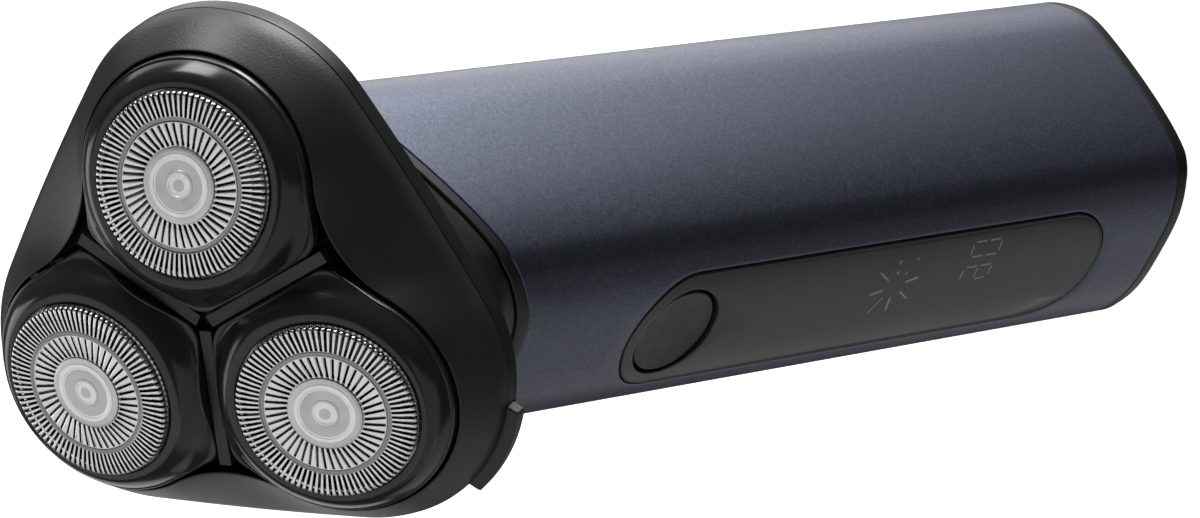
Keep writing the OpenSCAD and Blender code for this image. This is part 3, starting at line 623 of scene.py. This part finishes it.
FLOOR_GLOW, DOME_GLOW = 0.93, 1.0


def camera():
    data = bpy.data.cameras.new("camera")
    data.sensor_width = SENSOR_W
    data.lens = CAMERA_LENS
    data.clip_end = 20
    obj = bpy.data.objects.new("camera", data)
    look = (CAMERA_AT - CAMERA_AIM).to_track_quat("Z", "Y").to_matrix().to_4x4()
    roll = Matrix.Rotation(math.radians(CAMERA_ROLL), 4, "Z")
    obj.matrix_world = Matrix.Translation(CAMERA_AT * MM) @ look @ roll
    bpy.context.scene.collection.objects.link(obj)
    bpy.context.scene.camera = obj


def soft_box(name, target, direction, distance, size, radiance):
    """A rectangular light of that radiance, facing the target from that direction."""
    direction = Vector(direction).normalized()
    data = bpy.data.lights.new(name, "AREA")
    data.shape = "RECTANGLE"
    data.size, data.size_y = size
    data.energy = math.pi * size[0] * size[1] * radiance
    obj = bpy.data.objects.new(name, data)
    turn = direction.to_track_quat("Z", "Y").to_matrix().to_4x4()
    obj.matrix_world = Matrix.Translation(target + direction * distance) @ turn
    bpy.context.scene.collection.objects.link(obj)
    obj.visible_camera = False


def glowing(name, skin, glow):
    """A pale surface that the camera sees, and that throws no light or shade on the object."""
    obj = build(name, skin, Matrix.Identity(4))
    finish = Finish(name, (0.85, 0.85, 0.85), roughness=0.7, specular=0.1)
    finish.rough(finish.noise(8, 2), 0.65, 0.75)
    finish.shader.inputs["Emission Color"].default_value = (1, 1, 1, 1)
    finish.shader.inputs["Emission Strength"].default_value = glow
    obj.data.materials.append(finish.material)
    for kind in ("diffuse", "glossy", "transmission", "volume_scatter", "shadow"):
        setattr(obj, f"visible_{kind}", False)


def backdrop():
    """A pale floor, and a pale dome over it that shows behind the object in low views."""
    r = BACKDROP_REACH
    floor = Skin()
    floor.rows([[(x, y, 0) for y in (-r, r)] for x in (-r, r)], closed=False)
    glowing("floor", floor, FLOOR_GLOW)
    dome = Skin()
    levels = (-8, 0, 10, 25, 40, 55, 70, 84)
    lines = dome.rows([circle(Z * r * sin(e), X, Y, r * cos(e), 48) for e in levels])
    dome.fan(lines[-1], Z * r)
    glowing("dome", dome, DOME_GLOW)


def sky():
    """Dim room light, a little stronger from above."""
    world = bpy.data.worlds.new("studio")
    world.use_nodes = True
    tree = world.node_tree
    position = tree.nodes.new("ShaderNodeTexCoord")
    split = tree.nodes.new("ShaderNodeSeparateXYZ")
    strength = tree.nodes.new("ShaderNodeMapRange")
    ends = {"From Min": -1.0, "From Max": 1.0, "To Min": 0.03, "To Max": 0.06}
    for key, number in ends.items():
        strength.inputs[key].default_value = number
    tree.links.new(position.outputs["Generated"], split.inputs[0])
    tree.links.new(split.outputs["Z"], strength.inputs["Value"])
    tree.links.new(strength.outputs["Result"], tree.nodes["Background"].inputs["Strength"])
    tree.nodes["Background"].inputs["Color"].default_value = (1, 1, 1, 1)
    bpy.context.scene.world = world


def studio():
    bpy.context.scene.view_settings.view_transform = "Standard"
    sky()
    backdrop()
    for light in LIGHTS:
        soft_box(*light)


# ---- handle
SLEEVE_LOW = CAP_H + 0.12
LIP = 0.14
# Angle between the rows round the panel's ends
END_STEP = 7.5


def slot_rows():
    """Heights shared by the edge of the front face and the panel: closer together round the panel's ends."""
    low, high = PANEL_ENDS
    below = [low - FACE_X * tan(END_STEP * k) for k in range(8, 0, -1)]
    between = [high - PANEL_R * tan(END_STEP * k) for k in range(10, 0, -1)]
    above = [high + FACE_X * tan(END_STEP * k) for k in range(9)]
    return below + spread(6, low, between[0])[:-1] + between + above


SHARED = slot_rows()


def column(p):
    """Heights up the handle's wall at outline point p."""
    top = end_z(p, SLEEVE_TOP_D) - LIP
    return [SLEEVE_LOW + LIP] + SHARED + [mix(SHARED[-1], top, t) for t in (1 / 3, 2 / 3, 1)]


def face_loop():
    """Edge of the front face, anticlockwise from the lower right corner, as x and z."""
    side = column(Vector((FACE_X, front_y(FACE_X))))
    up = [(FACE_X, z) for z in side]
    top = [(x, end_z(Vector((x, front_y(x))), SLEEVE_TOP_D) - LIP) for x in FACE_XS[-2:0:-1]]
    down = [(-FACE_X, z) for z in reversed(side)]
    low = [(x, SLEEVE_LOW + LIP) for x in FACE_XS[1:-1]]
    return [Vector(p) for p in up + top + down + low]


def bar_loop(r):
    """Round-ended bar of half width r, with a point for each point of face_loop."""
    loop = []
    for p in face_loop():
        middle = Vector((0, min(max(p.y, PANEL_ENDS[0]), PANEL_ENDS[1])))
        loop.append(middle + (p - middle).normalized() * r)
    return loop


def button_loop(r):
    """Circle about the button, with a point for each point of bar_loop."""
    middle = Vector((0, BUTTON_Z))
    return [middle + (p - middle).normalized() * r for p in bar_loop(PANEL_R)]


def on_face(p, sink=0.0):
    """The point of the front face at x and z, sunk below the surface."""
    return Vector((p.x, front_y(p.x) + sink, p.y))


def face_rows(outer, inner, count):
    """Rows on the front face from one loop to another."""
    return [[on_face(a.lerp(b, t)) for a, b in zip(outer, inner)] for t in spread(count)]


def edge_rows(loop, profile):
    """Rows along an edge in the front face: the profile gives each row's loop radius and sink."""
    return [[on_face(p, sink) for p in loop(r)] for r, sink in profile]


def sleeve():
    skin = Skin()
    skin.rows(face_rows(face_loop(), bar_loop(PANEL_R + 2 * GAP), 6))
    hole = ((2 * GAP, 0), (1.3 * GAP, 0.04), (GAP, 0.14), (GAP, WALL))
    skin.rows(edge_rows(bar_loop, [(PANEL_R + r, sink) for r, sink in hole]))
    skin.rows([[Vector((p.x, p.y, z)) for z in column(p)] for p in SIDES], closed=False)
    edge = [Vector((p.x, p.y, end_z(p, SLEEVE_TOP_D) - LIP)) for p in OUTLINE]
    lining = SLEEVE_TOP_D + 4
    skin.rows([edge, ring_at(SLEEVE_TOP_D, LIP), ring_at(SLEEVE_TOP_D, WALL), ring_at(lining, WALL)])
    foot = ((LIP, 0), (0, LIP), (0, WALL), (3, WALL))
    skin.rows([level_ring(SLEEVE_LOW + z, t) for z, t in foot])
    place(build("sleeve_shell", skin), "handle", "metallic_sleeve", ["handle_sleeve"])


def stadium(half_w, r, at, z):
    """Outline of a slot with round ends, on a level."""
    turns = spread(24, -90, 90)
    points = [Vector((half_w - r + r * cos(a), r * sin(a))) for a in turns]
    points += [Vector((r - half_w - r * cos(a), -r * sin(a))) for a in turns]
    return [(p + at).to_3d() + Z * z for p in points]


def base_cap():
    """Foot of the handle with a rounded edge, a slot for the charging port and two screw recesses."""
    edge = ((CAP_H, WALL), (CAP_H, 0.12), (CAP_H - 0.12, 0.0), (0.75, 0.0), (0.42, 0.08), (0.16, 0.26),
            (0.03, 0.55), (0.0, 0.9))
    obj = build_solid("foot_cap", [level_ring(z, t) for z, t in edge])
    port_low, port_high = box_mm("usb_port")
    half = (port_high - port_low).xy / 2 + Vector((0.23, 0.22))
    port = (port_low + port_high).xy / 2
    tools = [build_solid("slot_tool", [stadium(half.x, half.y, port, z) for z in (-1, 1.6)])]
    screw_low, screw_high = box_mm("base_screws")
    screw_head_r, recess_r, recess_h = 1.95, 2.2, 1.25
    for side in (-1, 1):
        at = Vector((side * (screw_high.x - screw_head_r), (screw_low.y + screw_high.y) / 2, 0))
        tools.append(rod("screw_tool", recess_r, -1, recess_h, BODY @ Matrix.Translation(at)))
    cut(obj, tools)
    shade(obj, 25)
    place(obj, "handle", "black_trim", ["base_cap"])


def front_panel():
    """Smoked panel with an eased edge and a hole for the button, and a fine black border round it that paints the
    shade of the gap.
    """
    skin = Skin()
    ease = 0.14
    side = [(PANEL_R, 1.2), (PANEL_R, 0.16), (PANEL_R - 0.05, 0.06), (PANEL_R - ease, 0.0)]
    face = face_rows(bar_loop(PANEL_R - ease), button_loop(BUTTON_R + 0.55), 9)
    hole = [(BUTTON_R + r, sink) for r, sink in ((0.4, 0.04), (0.31, ease), (0.3, 1.8))]
    skin.rows(edge_rows(bar_loop, side) + face[1:] + edge_rows(button_loop, hole))
    place(build("panel_face", skin), "handle", "panel_black", ["front_panel"])
    # The border's black stands for the shade of the gap round the panel: painted shade
    border = Skin()
    bead = ((0.02, 0.1), (0.06, -0.02), (0.14, -0.05), (0.32, -0.05), (0.4, -0.02), (0.42, 0.1))
    border.ring(edge_rows(bar_loop, [(PANEL_R - r, sink) for r, sink in bead]))
    place(build("panel_gap_shade", border), "handle", "black_trim")


def power_button():
    """Dished disc with turned grooves and a round edge, on its stem."""
    grooves, groove_h, dish_h, stem_r = 15, 0.035, 0.32, 1.6
    edge = BUTTON_R - 0.45

    def face(r):
        groove = 0.5 - 0.5 * math.cos(math.tau * grooves * r / edge)
        return BUTTON_FACE_Y + dish_h * (1 - (r / edge) ** 2) + groove_h * groove

    def turned(r, y, count):
        return circle(Vector((0, y, BUTTON_Z)), X, Z, r, count)

    profile = [(r, face(r)) for r in spread(grooves * 6, 0.08, edge)]
    profile += [
        (edge + 0.15, BUTTON_FACE_Y - 0.02),
        (BUTTON_R - 0.12, BUTTON_FACE_Y + 0.08),
        (BUTTON_R, BUTTON_FACE_Y + 0.28),
        (BUTTON_R, BUTTON_FACE_Y + 1.4),
    ]
    skin = Skin()
    lines = skin.rows([turned(r, y, 96) for r, y in profile])
    skin.fan(lines[0], (0, face(0), BUTTON_Z))
    skin.cap(lines[-1])
    skin.solid([turned(stem_r, y, 32) for y in (BUTTON_FACE_Y + 1.3, button_high.y)])
    place(build("button_disc", skin, crease=50), "power_button", "spun_black", ["power_button"])


def mark_bar(skin, start, end, width):
    """A thin bar with pointed ends that stands a hair proud of the panel."""
    proud = Y * -0.015
    along = (end - start).normalized()
    across = Vector((-along.y, along.x)) * width / 2
    nose = along * width * 0.35
    back, tip = start - nose, end + nose
    corners = (back - across * 0.4, start - across, end - across, tip - across * 0.4,
               tip + across * 0.4, end + across, start + across, back + across * 0.4)
    skin.prism([on_face(p) - proud for p in corners], 2 * proud)


def display_marks():
    """Faint marks behind the panel: a ring of eight rays and a plain two-figure counter."""
    skin = Skin()
    middle, first_ray, inner_r = Vector((1.9, 53.8)), 12, 2.0
    for k in range(8):
        ray = Vector((cos(45 * k + first_ray), sin(45 * k + first_ray)))
        outer_r, width = (4.6, 0.24) if k % 2 else (3.9, 0.42)
        mark_bar(skin, middle + ray * inner_r, middle + ray * outer_r, width)
    # Each segment of a figure: its side, or 0 where it lies across, and its level
    segments = {"a": (0, 2), "b": (1, 1), "c": (1, 0), "d": (0, 0), "e": (-1, 0), "f": (-1, 1), "g": (0, 1)}
    half_w, tall, gap, width, foot_z = 1.05, 2.65, 0.42, 0.26, 35.9
    for x, shown in ((5.65, "abcdef"), (1.95, "abcdeg")):
        for side, level in (segments[name] for name in shown):
            z = foot_z + level * tall
            if side:
                start, end = Vector((x + side * half_w, z + gap)), Vector((x + side * half_w, z + tall - gap))
            else:
                start, end = Vector((x - half_w + gap, z)), Vector((x + half_w - gap, z))
            mark_bar(skin, start, end, width)
    marks = build("display_marks", skin, weld=False)
    place(marks, "handle", "dark_plastic", material=MATERIALS["mark_grey"])


def collar():
    """Thin band with eased edges between the sleeve and the neck."""
    low, high = SLEEVE_TOP_D - 0.12, COLLAR_TOP_D + 0.1
    profile = ((low, 1.4), (low, 0.35), (low, 0.12), (low - 0.1, 0.02), (high + 0.14, 0.02), (high, 0.14),
               (high, 0.6), (high, 1.4))
    skin = Skin()
    skin.rows([ring_at(d, t) for d, t in profile])
    place(build("collar_band", skin), "handle", "black_trim", ["top_collar"])


def neck_row(depth, t, low, top):
    """The outline of the neck, drawn in by t: the handle's at depth low, the head's at depth top."""
    s = (low - depth) / (low - top)
    w = s**1.5
    points = []
    for o in OUTLINE:
        o = inset(o, 0.3 * (1 - s) + t)
        d = depth + end_drop(o) * (1 - s)
        p = Vector((o.x, (o.y - HEAD_AT.y) / math.cos(HEAD_TILT) - d * math.tan(HEAD_TILT)))
        direction = math.degrees(math.atan2(p.y + 3, p.x))
        q = swing((head_r(direction) - 0.2 - t, 0), direction)
        points.append(Vector((mix(p.x, q.x, w), mix(p.y, q.y, w), -d)))
    return points


def neck():
    """The handle's outline swelling into the head's."""
    low, top = COLLAR_TOP_D - 0.03, RIM_LOW_D + 0.02
    flare = [(depth, 0) for depth in spread(20, low, top)[1:]]
    profile = [(low, 1.4), (low, LIP), (low - LIP, 0)] + flare + [(top, 1.4)]
    skin = Skin()
    skin.rows([neck_row(depth, t, low, top) for depth, t in profile])
    place(build("neck_flare", skin, HEAD, 40), "handle", "black_trim", ["neck_shell"])


# ---- head
CHAMBER_FLOOR_D = 12.5
CHAMBER_WALL = 1.8
SEAT_PITCH, SEAT_R = 16.25, 3.0
KNUCKLE_HALF_W, KNUCKLE_ROOM = 4.05, 1.65
LUG_R = 1.3
TAB_HALF_W, TAB_PROUD = 5.7, 1.4


def chamber_tools(pin):
    """Solids to cut from the chamber: the spindles' seats, the room for the hinge, and the tab's pocket."""
    seats = [HEAD @ Matrix.Translation(swing((SEAT_PITCH, 0), a)) for a in LOBE_DIRECTIONS]
    tools = [rod("seat_tool", SEAT_R, -15, -10, seat) for seat in seats]
    y, z, size = pin.y - KNUCKLE_ROOM, pin.z - KNUCKLE_ROOM, 6
    square = ((y, z), (y + size, z), (y + size, z + size), (y, z + size))
    tools.append(hinge_tool("hinge_tool", square, KNUCKLE_HALF_W))
    turn_r, beyond = 1.32, 4
    curve = [(pin.y + turn_r * sin(a), pin.z + turn_r * cos(a)) for a in spread(12, 0, 90)]
    curve += [(pin.y + beyond, pin.z), (pin.y + beyond, pin.z + beyond), (pin.y, pin.z + beyond)]
    tools.append(hinge_tool("relief_tool", curve, 16))
    return tools + [tab_solid("pocket_tool", 0.22, 28.2, SEAM_D - 1, 13.3, 0)]


def hinge_tool(name, section, half_w):
    """A bar across the head with that section."""
    return build_solid(name, [[(x, y, z) for y, z in section] for x in (-half_w, half_w)], HEAD)


def rim():
    """Hair chamber: a cup with a floor, a pocket for the tab, hinge lugs, and seats for the spindles."""
    top, floor, low = -SEAM_D - 0.1, -CHAMBER_FLOOR_D, -RIM_LOW_D
    corners = ((-CHAMBER_WALL, floor), (-CHAMBER_WALL, top), (0, top), (0, low), (-6, low))
    section = rounded([Vector(corner) for corner in corners], (0.15, 0.22, 0.3))
    rows = [[swing((head_r(a) + p.x, p.y), a) for a in HEAD_ANGLES] for p in section]
    obj = build_solid("chamber_cup", rows, HEAD)
    pin = HEAD.inverted() @ Vector(joints["lid_hinge"]["pos_m"])
    cut(obj, chamber_tools(pin))
    shade(obj, 28)
    lugs = Skin()
    profile = ((KNUCKLE_HALF_W, LUG_R - 0.15), (KNUCKLE_HALF_W + 0.15, LUG_R), (7.8, LUG_R), (8, LUG_R - 0.2))
    for side in (-1, 1):
        lugs.solid([circle(Vector((side * x, pin.y, pin.z)), Y, Z, r) for x, r in profile])
    lug = build("hinge_lugs", lugs, HEAD)
    place(obj, "handle", "black_trim", ["hair_chamber"])
    place(lug, "handle", "black_trim")


def tab_solid(name, grow, inner, high_d, low_d, edge):
    """Curved bar in front of the head between two depths, with edges rounded by that much."""
    half_w, outer = TAB_HALF_W + grow, LOBE_R + TAB_PROUD + grow

    def section(x, shrink):
        front = LOBE_PITCH + math.sqrt(outer**2 - x * x) - shrink
        low, high = low_d - shrink, high_d + shrink
        corners = [Vector(p) for p in ((-inner, -low), (-front, -low), (-front, -high), (-inner, -high))]
        line = rounded(corners, (edge, edge), 4) if edge else corners
        return [Vector((x, p.x, p.y)) for p in line]

    rows = [section(x, 0) for x in spread(24, -half_w, half_w)]
    if edge:
        ends = [[section(side * half_w, edge), section(side * (half_w - edge), 0)] for side in (-1, 1)]
        rows = ends[0] + rows[1:-1] + ends[1][::-1]
    return build_solid(name, rows, HEAD)


def release_tab():
    tab = tab_solid("release_tab", 0, 29.6, 11.15, 13.05, 0.18)
    place(tab, "release_button", "black_trim", ["release_button"], MATERIALS["satin_black"])


def lid_section(a):
    """Section of the lid in direction a, once round: up the outside, over the edge and back inside."""
    r, e, d = head_r(a), open_r(a), open_d(a)
    shoulder, edge = Vector((r - 0.5, -9.4)), Vector((e, -d))
    run = edge - shoulder
    bow = Vector((run.y, -run.x)) * 0.01
    outside = [Vector((r - 1.5, -SEAM_D)), Vector((r, -SEAM_D)), shoulder]
    slope = [shoulder + run * 0.34 + bow, shoulder + run * 0.7 + bow, edge]
    inside = [Vector((e + 0.2, -d - 1.7)), Vector((r - 2.1, -9.9)), Vector((r - 1.6, -SEAM_D + 0.05))]
    reach = run.length * 0.15
    return rounded(outside + slope + inside, (0.16, 1.1, reach, reach, 0.55, 0.12, 0.6), 6)


def lid():
    sections = [[swing(p, a) for p in lid_section(a)] for a in HEAD_ANGLES]
    skin = Skin()
    skin.ring([list(row) for row in zip(*sections)])
    place(build("lid_cover", skin, HEAD, 50), "lid", "satin_black", ["head_frame"])


# ---- pods
# A pod's outline: a round disc, two small ones in the outer corners and one at the apex, in one hull
POD_R = 13.8
CROWN_SHIFT = -0.41
CORNER_R, CORNER_AT = 2.4, 15.3
APEX_R = 3.0
HALF_GAP = 0.9
HOLE_R, POCKET_R = 10.6, 11.35
POD_LOW, POCKET_TOP = -4.8, -2.75
EAR_Y, EAR_R, EAR_LOW = 13.2, 1.1, -4.691
# The top of a pod, as radius and height: a rounded lip, and then a slope out to the corners
CROWN = ((HOLE_R, -0.12), (10.75, 0.0), (11.2, 0.0), (11.5, -0.05), (12.0, -0.3), (12.6, -0.85),
         (13.2, -1.65), (13.7, -2.45), (14.3, -3.0), (15.2, -3.4), (16.5, -3.75), (19.0, -4.1))
POD_ANGLES = around(240)


def crown(r):
    """Height of a pod's top at radius r: a smooth line through CROWN."""
    rs = [p[0] for p in CROWN]
    if r <= rs[0]:
        return CROWN[0][1]
    i = max(k for k in range(len(rs) - 1) if rs[k] <= r)

    def slope(k):
        k = min(max(k, 1), len(rs) - 2)
        return (CROWN[k + 1][1] - CROWN[k - 1][1]) / (rs[k + 1] - rs[k - 1])

    h = rs[i + 1] - rs[i]
    t = (r - rs[i]) / h
    heights = CROWN[i][1] * (2 * t**3 - 3 * t**2 + 1) + CROWN[i + 1][1] * (3 * t**2 - 2 * t**3)
    return heights + h * (slope(i) * (t**3 - 2 * t**2 + t) + slope(i + 1) * (t**3 - t**2))


def pod_discs():
    """Centres and radii of the discs whose hull is a pod's outline, about its cutter, on the head's axes."""
    discs = [(Vector((CROWN_SHIFT, 0)), POD_R)]
    clear = HALF_GAP + CORNER_R
    for side in (-1, 1):
        x = CORNER_AT * cos(60) + clear * sin(60) - POD_PITCH
        y = side * (CORNER_AT * sin(60) - clear * cos(60))
        discs.append((Vector((x, y)), CORNER_R))
    discs.append((Vector(((HALF_GAP + APEX_R) / sin(60) - POD_PITCH, 0)), APEX_R))
    return discs


def hull_reach(direction, discs):
    """Distance from the origin to the discs' hull in that direction, kept off the ribs by the half gap.

    The first disc is foreshortened along x by the pod's tilt.
    """
    best = math.inf
    ray = Vector((cos(direction), sin(direction)))
    for a in around(720):
        n = Vector((cos(a), sin(a)))
        facing = n.dot(ray)
        if facing > 0.15:
            reaches = [middle.dot(n) + r for middle, r in discs]
            reaches[0] += POD_R * (math.hypot(math.cos(POD_TILT) * n.x, n.y) - 1)
            best = min(best, max(reaches) / facing)
    for side in (-1, 1):
        n = Vector((-sin(60), side * cos(60)))
        if n.dot(ray) > 0.01:
            best = min(best, (POD_PITCH * sin(60) - HALF_GAP) / n.dot(ray))
    return best


def to_pod(plan, height=None):
    """Pod coordinates of a plan point on the head's axes: on the crown, or at a height in the pod."""
    z = -2.5 if height is None else height
    for _ in range(6):
        x = (plan.x - z * math.sin(POD_TILT)) / math.cos(POD_TILT)
        z = crown(math.hypot(x, plan.y)) if height is None else height
    return Vector(((plan.x - z * math.sin(POD_TILT)) / math.cos(POD_TILT), plan.y, z))


def pod_column(a, reach):
    """Points of a pod in direction a: up its pocket, over its crown and down its side."""
    round_r = 0.3
    ray = Vector((cos(a), sin(a)))
    rim = to_pod(ray * (reach - round_r))
    pocket = ((POCKET_R, POD_LOW), (POCKET_R, POCKET_TOP), (HOLE_R, POCKET_TOP))
    points = [(ray * r).to_3d() + Z * z for r, z in pocket]
    for t in (0, 0.03, 0.06, 0.1, 0.15, 0.2, 0.26, 0.32, 0.38, 0.45, 0.52, 0.6, 0.68, 0.76, 0.84, 0.92, 1):
        p = (ray * HOLE_R).lerp(rim.xy, t)
        points.append(p.to_3d() + Z * crown(p.length))
    for turn in spread(4, 0, 90)[1:]:
        out, down = round_r * sin(turn), round_r * (1 - cos(turn))
        points.append(to_pod(ray * (reach - round_r + out), rim.z - down))
    return points + [to_pod(ray * reach, POD_LOW + 0.2), to_pod(ray * (reach - 0.2), POD_LOW)]


def pod_skin():
    """A pod's shell, with the two ears that it tilts on."""
    discs = pod_discs()
    columns = [pod_column(a, hull_reach(a, discs)) for a in POD_ANGLES]
    skin = Skin()
    skin.ring([list(row) for row in zip(*columns)])
    half = 0.7
    ear = ((-half, EAR_R - 0.1), (0.1 - half, EAR_R), (half - 0.1, EAR_R), (half, EAR_R - 0.1))
    for side in (-1, 1):
        skin.solid([circle(Vector((0, side * EAR_Y + y, EAR_LOW)), X, Z, r) for y, r in ear])
        foot = ((-EAR_R, -half), (EAR_R, -half), (EAR_R, half), (-EAR_R, half))
        skin.prism([(x, side * EAR_Y + y, EAR_LOW) for x, y in foot], Z * 1.5)
    return skin


# ---- guards
GUARD_R, GUARD_TOP = 10.4, 0.9
SHEET = 0.3
OUTER_SLOTS, OUTER_SLOT_W, OUTER_MISS = 90, 0.29, -0.3
INNER_SLOTS, INNER_SLOT_W, INNER_MISS = 46, 0.27, -1.0
OUTER_TRACK = (7.6, 10.0)
INNER_TRACK = (4.42, 7.0)
GROOVE = (7.05, 7.6)
DISC_EDGE_R = 4.35
RELIEF = 0.05
EDGE_R = 0.4
FLANGE_R, FLANGE_LOW, FLANGE_TOP = 11.25, -3.4, -2.8


def track_z(r):
    """Height of the guard's face at radius r: two gently crowned tracks and a groove between them."""
    if r < GROOVE[0]:
        return GUARD_TOP + RELIEF * sin(180 * min(max((r - DISC_EDGE_R) / (GROOVE[0] - DISC_EDGE_R), 0), 1))
    if r < GROOVE[1]:
        return GUARD_TOP - RELIEF * smooth(min(r - GROOVE[0], GROOVE[1] - r) / 0.16)
    return GUARD_TOP + RELIEF * sin(180 * min((r - GROOVE[1]) / (GUARD_R - GROOVE[1]), 1))


def track_line(low, high, count):
    return [(r, track_z(r)) for r in spread(count, low, high)]


def over_edge():
    """Profile of the outer track: out along the face, round the edge and down the side."""
    flat = track_line(*OUTER_TRACK, 6)
    start = flat[-1][1]
    turns = spread(5, 0, 90)[1:]
    bend = [(OUTER_TRACK[1] + EDGE_R * sin(a), start - EDGE_R * (1 - cos(a))) for a in turns]
    return flat + bend + [(GUARD_R, start - 0.75)]


def bars(skin, profile, count, slot_w, miss):
    """The bars between straight slots of even width that pass the axis at the distance `miss`.

    Each bar follows the profile, with eased edges and closed ends.
    """
    step = 360 / count
    section = ((-1, -SHEET), (-1, -0.03), (-0.8, 0.0), (0.8, 0.0), (1, -0.03), (1, -SHEET))
    for k in range(count):
        rows = []
        for i, (r, z) in enumerate(profile):
            before, after = profile[max(i - 1, 0)], profile[min(i + 1, len(profile) - 1)]
            along = (Vector(after) - Vector(before)).normalized()
            out = Vector((-along.y, along.x))
            at = Vector((r, z))
            half = (step - math.degrees(slot_w / r)) / 2
            middle = k * step + math.degrees(math.asin(miss / r))
            rows.append([swing(at + out * depth, middle + half * side) for side, depth in section])
        skin.solid(rows)


def band(skin, profile, steps=180):
    """A turned ring through a closed profile."""
    skin.ring([[swing(p, a) for a in around(steps)] for p in profile])


def guard_skin():
    """A steel guard: two tracks of bars, the plain bands that hold them, and the wall with its flange."""
    skin = Skin()
    bars(skin, over_edge(), OUTER_SLOTS, OUTER_SLOT_W, OUTER_MISS)
    bars(skin, track_line(*INNER_TRACK, 5), INNER_SLOTS, INNER_SLOT_W, INNER_MISS)
    lap, low, deep = 0.05, GUARD_TOP - SHEET, GUARD_TOP - SHEET - 0.12
    inner, outer = INNER_TRACK[1] - lap, OUTER_TRACK[0] + lap
    under = [(outer, low), (GROOVE[1], deep), (GROOVE[0], deep), (inner, low)]
    band(skin, track_line(inner, outer, 14) + under)
    inner, outer, ledge = 4.25, INNER_TRACK[0] + lap, GUARD_TOP - 0.2
    band(skin, [(inner, low), (inner, ledge), (outer, ledge), (outer, low)])
    wall_top = GUARD_TOP - EDGE_R - 0.7 + lap
    band(skin, [(GUARD_R, wall_top), (GUARD_R, FLANGE_TOP), (FLANGE_R, FLANGE_TOP), (FLANGE_R, FLANGE_LOW),
                (GUARD_R - SHEET, FLANGE_LOW), (GUARD_R - SHEET, wall_top)])
    return skin


def shade_slot_walls(obj, at):
    """The walls of the slots take a dark steel: painted shade inside the slots."""
    # Painted shade: the slot walls take the dark steel so that the slots read dark
    obj.data.materials.append(MATERIALS["slot_shade_steel"])
    to_pod_axes = at.inverted()
    turn = to_pod_axes.to_3x3()
    for face in obj.data.polygons:
        middle = to_pod_axes @ face.center
        across = Vector((-middle.y, middle.x, 0)).normalized()
        if abs((turn @ face.normal).normalized().dot(across)) > 0.6:
            face.material_index = 1


def cap_skin():
    """Plain disc in the middle of a guard: rolled edge, satin field, and two raised rings."""
    skin = Skin()
    top = GUARD_TOP + 0.12
    field = top - 0.02
    profile = [(4.34, 0.35), (4.34, top - 0.12), (4.3, top - 0.04), (4.2, top), (3.62, top),
               (3.57, top + 0.03), (3.12, top + 0.03), (3.07, top)]
    profile += [(r, mix(top, field, smooth((3.0 - r) / 0.3))) for r in (3.0, 2.85, 2.7)] + [(0.4, field)]
    lines = skin.rows([[swing(p, a) for a in around(128)] for p in profile])
    skin.cap(lines[0])
    skin.fan(lines[-1], Z * field)
    band(skin, [(1.2, top - 0.05), (1.26, top + 0.02), (1.69, top + 0.02), (1.75, top - 0.05)], 96)
    return skin


# Guard steel: darker over the groove between the two tracks, as painted shade in the groove
STEEL_BANDS = ((0.0, 0.88), (GROOVE[0], 0.3), (7.66, 0.88))
# Disc: lighter on its two raised rings, as painted highlights on the rings
DISC_BANDS = ((0.0, 0.66), (1.2, 1.0), (1.75, 0.66), (3.05, 1.0), (3.7, 0.72))


def shaving_units():
    pod, guard, cap = pod_skin(), guard_skin(), cap_skin()
    for k in CUTTERS:
        at = pod_axes(k)
        body = f"pod_{k}"
        place(build(f"pod_cover_{k}", pod, at, 40), body, "gloss_black", [f"pod_{k}"])
        steel = banded(f"guard_steel_{k}", at.translation, 12.0, STEEL_BANDS, 0.27, 4e-7)
        slotted = build(f"slotted_guard_{k}", guard, at, 40, weld=False)
        place(slotted, body, "polished_steel", [f"guard_{k}"], steel)
        shade_slot_walls(slotted, at)
        satin = banded(f"disc_{k}", at.translation, 5.0, DISC_BANDS, 0.4, 3e-6)
        place(build(f"guard_disc_{k}", cap, at, 30), body, "polished_steel", [f"guard_cap_{k}"], satin)


def rib_covers():
    """Rounded tops of the three ribs that stand between the pods."""
    half, start, end = 0.7, 1.25, 17.3
    fall, ease, foot = 1.2 / 17.4, 0.12, 3
    skin = Skin()
    for a in SIDE_DIRECTIONS:
        along, across = swing((1, 0), a), swing((1, 0), a + 90)
        rows = []
        for s in spread(12, start, end):
            top = -0.98 - fall * s
            shrink = ease if s in (start, end) else 0.0
            wide, low = half - shrink, top - 0.1 - shrink
            section = ((-wide, top - foot), (-wide, low), (0.08 - half, top - shrink),
                       (half - 0.08, top - shrink), (wide, low), (wide, top - foot))
            rows.append([along * s + across * x + Z * z for x, z in section])
        skin.solid(rows)
    place(build("rib_covers", skin, HEAD), "lid", "grey_plastic")


camera()
studio()
dress_nodes()
sleeve()
base_cap()
front_panel()
power_button()
display_marks()
collar()
neck()
rim()
release_tab()
lid()
shaving_units()
rib_covers()
